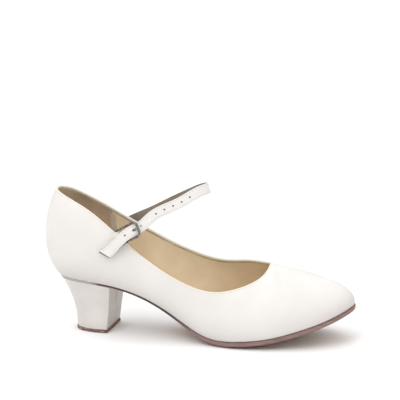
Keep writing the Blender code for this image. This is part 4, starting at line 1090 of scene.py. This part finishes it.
def build_heel_tip():
    """The top piece, frayed: its rim is rough and its lower corner is ground away unevenly."""
    rough = np.random.default_rng(7)
    around = HEEL_STEPS + 1
    rows = []
    for z, grow, fray in TIP_LAYERS:
        layer = tip_outline(TIP_THICKNESS * z, TIP_LIP * grow)
        jitter = rough.normal(0.0, 1.0, (around, 2))
        jitter = (jitter + np.roll(jitter, 1, axis=0)) / 2
        middle = np.array([(TIP_BACK + TIP_FRONT) / 2, 0.0])
        outward = unit(layer[:, :, :2] - middle)
        moved = np.clip(jitter, FRAY_IN, FRAY_OUT) * TIP_LIP * fray
        moved[0] = moved[0].mean()
        layer[:, :, :2] += outward * moved[:, :, None]
        rows.append(layer)
    shape = grids_to_shape(layered_grids(rows))
    tip = put("top_piece", shape, [TIP])
    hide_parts("heel_tip")


# Strap, tab and buckle

def width_direction(lean, tilt):
    """The direction across a strap: upright, leaned back by lean and in over the foot by tilt."""
    lean, tilt = math.radians(lean), math.radians(tilt)
    return np.array([-math.sin(lean) * math.cos(tilt), math.sin(tilt), math.cos(lean) * math.cos(tilt)])


def tab_place(down):
    """A point of the outer quarter on the tab's line, down from the topline, and its outward normal."""
    start = LAST.topline_point(TAB_CROSSING * LENGTH, -1)
    slope = math.radians(TAIL_SLOPE)
    k, w = LAST.place(start[0] - down * math.cos(slope), start[2] - down * math.sin(slope), -1)
    return LAST.at(k, w, -1)[0], LAST.normal(k, w, -1)[0]


class BuckleAxes:
    """The buckle's own directions: u from the rear bar to the front bar, v up across it, n outwards."""

    def __init__(self):
        self.v = width_direction(BUCKLE_SLOPE, BUCKLE_TILT)
        slope = math.radians(BUCKLE_SLOPE)
        lead = np.array([math.cos(slope), -BUCKLE_TOE_OUT, math.sin(slope)])
        self.u = unit(lead - self.v * np.dot(lead, self.v))
        self.n = np.cross(self.u, self.v)
        on_wall, normal = tab_place(0.0)
        self.middle = on_wall + normal * (WIRE_RADIUS + GAP + TAB_THICKNESS + BUCKLE_STAND)

    def at(self, u, v, n):
        return self.middle + self.u * u + self.v * v + self.n * n


AXES = BuckleAxes()
TAB_OUTSIDE = WIRE_RADIUS + GAP + TAB_THICKNESS
PRONG_TURN = WIRE_RADIUS + GAP + PRONG_RADIUS
STRAP_OVER = max(TAB_OUTSIDE, PRONG_TURN + PRONG_RADIUS) + GAP + STRAP_THICKNESS / 2
STRAP_UNDER = BUCKLE_BOW - WIRE_RADIUS - 2 * GAP - STRAP_THICKNESS / 2
PRONG_ON_BAR = BUCKLE_BOW + WIRE_RADIUS + GAP + PRONG_RADIUS


class Route:
    """A flat strip's line: its middle, its directions across and its thickness along its length."""

    def __init__(self, points, widths, thicknesses):
        points = np.array(points)
        self.knots = np.concatenate([[0.0], np.cumsum(np.linalg.norm(np.diff(points, axis=0), axis=1))])
        self.length = self.knots[-1]
        self.line = Spline(self.knots, points)
        self.widths = np.array(widths)
        self.thicknesses = np.array(thicknesses, float)

    def at(self, where):
        """Middle, direction along, direction across, direction out and thickness at lengths."""
        where = np.atleast_1d(where)
        step = 1e-4
        ahead, behind = np.minimum(where + step, self.length), np.maximum(where - step, 0)
        along = unit(self.line.at(ahead) - self.line.at(behind))
        across = np.array([np.interp(where, self.knots, self.widths[:, i]) for i in range(3)]).T
        across = unit(across - along * np.sum(across * along, axis=1, keepdims=True))
        thick = np.interp(where, self.knots, self.thicknesses)
        return self.line.at(where), along, across, np.cross(across, along), thick


def strap_route():
    crossing = LAST.topline_point(STRAP_CROSSING * LENGTH, 1)
    slope = math.radians(STRAP_SLOPE)
    points, widths, thicknesses = [], [], []
    for down, thickness in ((STRAP_ROOT, STRAP_SKIVED), (STRAP_ROOT / 2, None), (0.0, STRAP_THICKNESS)):
        thickness = thickness or (STRAP_SKIVED + STRAP_THICKNESS) / 2
        x, z = crossing[0] - down * math.cos(slope), crossing[2] - down * math.sin(slope)
        k, w = LAST.place(x, z, 1)
        normal = LAST.normal(k, w, 1)[0]
        points.append(LAST.at(k, w, 1)[0] + normal * (2 * GAP + thickness / 2))
        upright = width_direction(STRAP_SLOPE, 0.0)
        widths.append(unit(upright - normal * np.dot(upright, normal)))
        thicknesses.append(thickness)
    t = table(STRAP_COLUMNS, STRAP)
    for i in range(len(STRAP)):
        points.append([crossing[0] + t["reach"][i] * STRAP_REACH, t["side"][i] * BALL_WIDTH,
                       crossing[2] + t["rise"][i] * STRAP_RISE])
        widths.append(width_direction(t["lean"][i], t["tilt"][i]))
        thicknesses.append(STRAP_THICKNESS)
    for _, along, low, over, under in THROUGH_BUCKLE:
        height = over * STRAP_OVER + under * STRAP_UNDER
        points.append(AXES.at(along * BUCKLE_LENGTH, -low * TAIL_LOW, height))
        widths.append(AXES.v)
        thicknesses.append(STRAP_THICKNESS)
    lift = 2 * TAB_THICKNESS + 2 * GAP + TAIL_ROOM + STRAP_THICKNESS / 2
    for down in (TAIL_LENGTH * TAIL_MIDDLE, TAIL_LENGTH):
        on_wall, normal = tab_place(down)
        across = width_direction(TAIL_SLOPE, TAIL_TILT)
        across = unit(across - normal * np.dot(across, normal) * TAIL_LIES)
        points.append(on_wall + normal * lift - across * TAIL_LOW)
        widths.append(across)
        thicknesses.append(STRAP_THICKNESS)
    return Route(points, widths, thicknesses)


def tab_route():
    """The tab: up the quarter, round the rear bar and back down over itself."""
    points, widths = [], []
    radius = WIRE_RADIUS + GAP + TAB_THICKNESS / 2
    for down in np.linspace(TAB_LENGTH, 2 * radius, 6):
        on_wall, normal = tab_place(down)
        points.append(on_wall + normal * (GAP + TAB_THICKNESS / 2))
        widths.append(tab_width(normal))
    for turn in np.radians([-90, -45, 0, 45, 90]):
        points.append(AXES.at(radius * math.cos(turn), 0, radius * math.sin(turn)))
        widths.append(AXES.v)
    for down in np.linspace(3.5 * radius, TAB_LENGTH - TAB_STEP_BACK, 6):
        on_wall, normal = tab_place(down)
        points.append(on_wall + normal * (2 * GAP + 1.5 * TAB_THICKNESS))
        widths.append(tab_width(normal))
    return Route(points, widths, [TAB_THICKNESS] * len(points))


def tab_width(normal):
    """Across the tab, flat on the quarter."""
    flat = width_direction(TAIL_SLOPE, 0.0)
    return unit(flat - normal * np.dot(flat, normal))


def strip_section(width, thickness):
    """A strip's section: rounded corners, and a groove under each row of stitches on the outer face."""
    half, thick = width / 2, thickness / 2
    corner = STRIP_CORNER * thick
    a_side, b_side = half - corner, thick - corner
    outline = []
    for centre_a, centre_b, start in ((a_side, b_side, 0), (-a_side, b_side, 90),
                                      (-a_side, -b_side, 180), (a_side, -b_side, 270)):
        for turn in np.radians(np.linspace(start, start + 90, 5)):
            outline.append((centre_a + corner * math.cos(turn), centre_b + corner * math.sin(turn)))
        if start == 0:
            row = half - STITCH_INSET
            beside = np.linspace(GROOVE_REACH, -GROOVE_REACH, 5)
            for a in (*(row + beside), row * 0.4, 0.0, -row * 0.4, *(beside - row)):
                groove = GROOVE_DEPTH * math.exp(-((abs(a) - row) / GROOVE_WIDTH) ** 2)
                outline.append((a, thick - groove))
    return np.array(outline)


def build_strip(name, route, width, steps, backing, cut_by=0.0):
    """A strip of leather along a route; its last end is cut away from square by cut_by degrees, and
    that cut shows the dark raw edge, with the last steps dark all round as painted shadow along the end."""
    where = np.linspace(0, route.length, steps + 1)
    middle, along, across, facing, thick = route.at(where)
    slant = math.tan(math.radians(cut_by)) * np.clip(1 - (route.length - where) / CUT_FADES, 0, 1)[:, None]
    aside = across + along * slant
    shape = bmesh.new()
    shape.verts.layers.float.new("wear_and_painted_shade")
    rings = []
    for i in range(len(where)):
        section = strip_section(width, thick[i])
        points = middle[i] + section[:, :1] * aside[i] + section[:, 1:] * facing[i] - ORIGIN
        rings.append([shape.verts.new(point) for point in points])
    count = len(rings[0])
    # the last steps before a cut end are dark all round: painted shadow
    painted_shadow_from = len(rings) - 1 - PAINTED_SHADOW_RINGS if cut_by else len(rings)
    for number, (low, high) in enumerate(zip(rings, rings[1:])):
        for i in range(count):
            j = (i + 1) % count
            face = shape.faces.new((low[i], low[j], high[j], high[i]))
            face.material_index = 2 if number >= painted_shadow_from else int(i >= count - BACK_FACES)
    shape.faces.new(rings[0])
    shape.faces.new(rings[-1]).material_index = 2 if cut_by else 0
    bmesh.ops.recalc_face_normals(shape, faces=shape.faces)
    return put(name, shape, [WHITE, backing, RAW_EDGE_AND_SHADOW])


def build_stitches(name, route, width, start, end):
    """Two rows of stitches on a strip's outer face."""
    shape = bmesh.new()
    shape.verts.layers.float.new("wear_and_painted_shade")
    for where in np.arange(start, end, STITCH_PITCH):
        middle, along, across, facing, thick = (value[0] for value in route.at(where))
        for side in (-1, 1):
            centre = middle + across * side * (width / 2 - STITCH_INSET)
            centre = centre + facing * (thick / 2 - GROOVE_DEPTH / 2)
            placed = placed_at(centre, along, across, facing)
            size = Matrix.Diagonal((STITCH_LENGTH / 2, STITCH_THICKNESS / 2, STITCH_THICKNESS / 2, 1.0))
            bmesh.ops.create_uvsphere(shape, u_segments=8, v_segments=8, radius=1.0, matrix=placed @ size)
    bmesh.ops.recalc_face_normals(shape, faces=shape.faces)
    put(name, shape, [THREAD])


def cut(target, shape):
    """Cuts a closed bmesh out of the target at once."""
    mesh = bpy.data.meshes.new("cutter")
    shape.to_mesh(mesh)
    shape.free()
    tool = bpy.data.objects.new("cutter", mesh)
    bpy.context.scene.collection.objects.link(tool)
    step = target.modifiers.new("cut", "BOOLEAN")
    step.operation = "DIFFERENCE"
    step.object = tool
    bpy.context.view_layer.update()
    evaluated = target.evaluated_get(bpy.context.evaluated_depsgraph_get())
    target.data = bpy.data.meshes.new_from_object(evaluated)
    target.modifiers.clear()
    bpy.data.objects.remove(tool)


def prong_line():
    """(u, n) along the prong: hooked round the rear bar, under the strap, up through its hole and onto
    the front bar."""
    local = []
    for turn in np.radians(np.linspace(300, 90, HOOK_STEPS)):
        local.append((PRONG_TURN * math.cos(turn), PRONG_TURN * math.sin(turn)))
    shares = [row[1] for row in PRONG]
    heights = [row[2] * PRONG_TURN + row[3] * PRONG_ON_BAR for row in PRONG]
    line = Spline(shares, heights)
    end = BUCKLE_LENGTH + PRONG_OVERHANG
    for share in np.linspace(PRONG_LEAVES, 1.0, PRONG_STEPS + 1):
        local.append((end * share, float(line.at(share))))
    return local


def build_strap():
    route = strap_route()
    strap = build_strip("instep_strap", route, STRAP_WIDTH, STRAP_STEPS, STRAP_BACK, TAIL_CUT)
    through = np.array([AXES.at(u, 0.0, n) for u, n in prong_line() if u > BUCKLE_LENGTH * HOLE_FROM])
    cut(strap, tube(through, [PRONG_RADIUS + HOLE_CLEARANCE] * len(through), HOLE_SIDES, False))
    where = np.linspace(0, route.length, 2000)
    middles = route.line.at(where)
    nearness = np.linalg.norm(middles[:, None, :] - through[None, :, :], axis=2).min(axis=1)
    own_hole = where[int(np.argmin(nearness))]
    punches = bmesh.new()
    for number in range(-HOLES_AHEAD, HOLES_BEHIND + 1):
        if number == 0:
            continue
        middle, along, across, facing, _ = (value[0] for value in route.at(own_hole + number * HOLE_SPACING))
        bmesh.ops.create_cone(punches, cap_ends=True, segments=HOLE_SIDES, radius1=HOLE_RADIUS,
                              radius2=HOLE_RADIUS, depth=4 * STRAP_THICKNESS,
                              matrix=placed_at(middle, along, across, facing))
    for face in punches.faces:
        face.material_index = 2
    bmesh.ops.recalc_face_normals(punches, faces=punches.faces)
    cut(strap, punches)
    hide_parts("strap")
    build_stitches("strap_stitches", route, STRAP_WIDTH, STRAP_STITCHES[0], route.length - STRAP_STITCHES[1])


def build_tab():
    route = tab_route()
    tab = build_strip("quarter_tab", route, TAB_WIDTH, TAB_STEPS, WHITE)
    slot = 2 * (PRONG_RADIUS + 2 * GAP)
    reach = 2 * (PRONG_TURN + PRONG_RADIUS + 3 * GAP)
    box = bmesh.new()
    placed = placed_at(AXES.middle, AXES.u, AXES.v, AXES.n)
    bmesh.ops.create_cube(box, size=1.0, matrix=placed @ Matrix.Diagonal((reach, slot, reach, 1.0)))
    cut(tab, box)
    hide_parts("buckle_tab")
    first, last = (route.length - from_end for from_end in TAB_STITCHES)
    build_stitches("tab_stitches", route, TAB_WIDTH, first, last)


def bowed(u):
    """How far the frame's chord stands out at u: level behind, and up to the bow at the front bar."""
    return BUCKLE_BOW * max(0.0, min(1.0, u / BUCKLE_LENGTH)) ** 1.5


def build_frame():
    half = BUCKLE_WIDTH / 2
    outline = []
    for centre_u, centre_v, radius, start in (
            (BUCKLE_LENGTH - BUCKLE_CORNER, half - BUCKLE_CORNER, BUCKLE_CORNER, 90),
            (BUCKLE_LENGTH - BUCKLE_CORNER, -half + BUCKLE_CORNER, BUCKLE_CORNER, 0),
            (REAR_CORNER, -half + REAR_CORNER, REAR_CORNER, -90),
            (REAR_CORNER, half - REAR_CORNER, REAR_CORNER, -180)):
        for turn in np.radians(np.linspace(start, start - 90, CORNER_STEPS + 1)):
            outline.append((centre_u + radius * math.cos(turn), centre_v + radius * math.sin(turn)))
    points = []
    for (u, v), (next_u, next_v) in zip(outline, outline[1:] + outline[:1]):
        points.append(AXES.at(u, v, bowed(u)))
        if math.hypot(next_u - u, next_v - v) > 4 * WIRE_RADIUS:
            for share in np.linspace(0, 1, 14)[1:-1]:
                middle = u + (next_u - u) * share
                points.append(AXES.at(middle, v + (next_v - v) * share, bowed(middle)))
    shape = tube(points, [WIRE_RADIUS] * len(points), WIRE_SIDES, True)
    made = put("buckle_wire", shape, [STEEL])
    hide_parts("buckle_frame")


def build_prong():
    points = [AXES.at(u, 0.0, n) for u, n in prong_line()]
    radii = np.full(len(points), PRONG_RADIUS)
    radii[-len(PRONG_TAPER):] *= PRONG_TAPER
    made = put("buckle_tongue", tube(points, radii, PRONG_SIDES, False), [STEEL])
    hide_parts("buckle_prong")


# Floor, light and camera

def build_floor():
    shape = bmesh.new()
    bmesh.ops.create_grid(shape, x_segments=2, y_segments=2, size=FLOOR_HALF)
    mesh = bpy.data.meshes.new("studio_floor")
    shape.to_mesh(mesh)
    shape.free()
    floor = bpy.data.objects.new("studio_floor", mesh)
    look = Look("studio_paper", 0.85, specular=0.1)
    look.colour(look.ramp(look.noise(0.6, 2.0), ((0.3, (0.925, 0.925, 0.925)), (0.7, (0.94, 0.94, 0.94)))))
    mesh.materials.append(look.material)
    bpy.context.scene.collection.objects.link(floor)


def soft_light(name, place, size, watts):
    light = bpy.data.lights.new(name, "AREA")
    light.shape = "DISK"
    light.size = size
    light.energy = watts
    lamp = bpy.data.objects.new(name, light)
    lamp.location = place
    lamp.rotation_euler = (Vector(LIT) - Vector(place)).to_track_quat("-Z", "Y").to_euler()
    bpy.context.scene.collection.objects.link(lamp)


def build_light():
    world = bpy.data.worlds.new("studio")
    world.use_nodes = True
    nodes, links = world.node_tree.nodes, world.node_tree.links
    sky = nodes["Background"]
    sky.inputs["Color"].default_value = (1.0, 1.0, 1.0, 1.0)
    parts = nodes.new("ShaderNodeSeparateXYZ")
    links.new(nodes.new("ShaderNodeTexCoord").outputs["Generated"], parts.inputs["Vector"])
    rise = nodes.new("ShaderNodeMapRange")
    rise.inputs["To Min"].default_value = SKY_LOW
    rise.inputs["To Max"].default_value = SKY_HIGH
    links.new(parts.outputs["Z"], rise.inputs["Value"])
    links.new(rise.outputs["Result"], sky.inputs["Strength"])
    bpy.context.scene.world = world
    for name, place, size, watts in LIGHTS:
        soft_light(name, place, size, watts)
    bpy.context.scene.view_settings.view_transform = "Standard"


def build_camera():
    turn, climb, roll = (math.radians(a) for a in (CAMERA_AZIMUTH, CAMERA_ELEVATION, CAMERA_ROLL))
    back = Vector((math.sin(turn) * math.cos(climb), -math.cos(turn) * math.cos(climb), math.sin(climb)))
    right = Vector((math.cos(turn), math.sin(turn), 0.0))
    up = back.cross(right)
    right, up = (right * math.cos(roll) + up * math.sin(roll), up * math.cos(roll) - right * math.sin(roll))
    camera = bpy.data.cameras.new("camera")
    camera.lens = CAMERA_LENS
    camera.sensor_width = 36.0
    holder = bpy.data.objects.new("camera", camera)
    holder.matrix_world = Matrix.Translation(Vector(CAMERA_TARGET) + back * CAMERA_DISTANCE) @ Matrix(
        (right, up, back)).transposed().to_4x4()
    bpy.context.scene.collection.objects.link(holder)
    bpy.context.scene.camera = holder


build_upper()
build_topline_edge()
build_topline_tape()
build_lining_seam()
build_sock()
build_sole()
build_heel()
build_heel_seam()
build_heel_tip()
build_strap()
build_tab()
build_frame()
build_prong()
build_floor()
build_light()
build_camera()
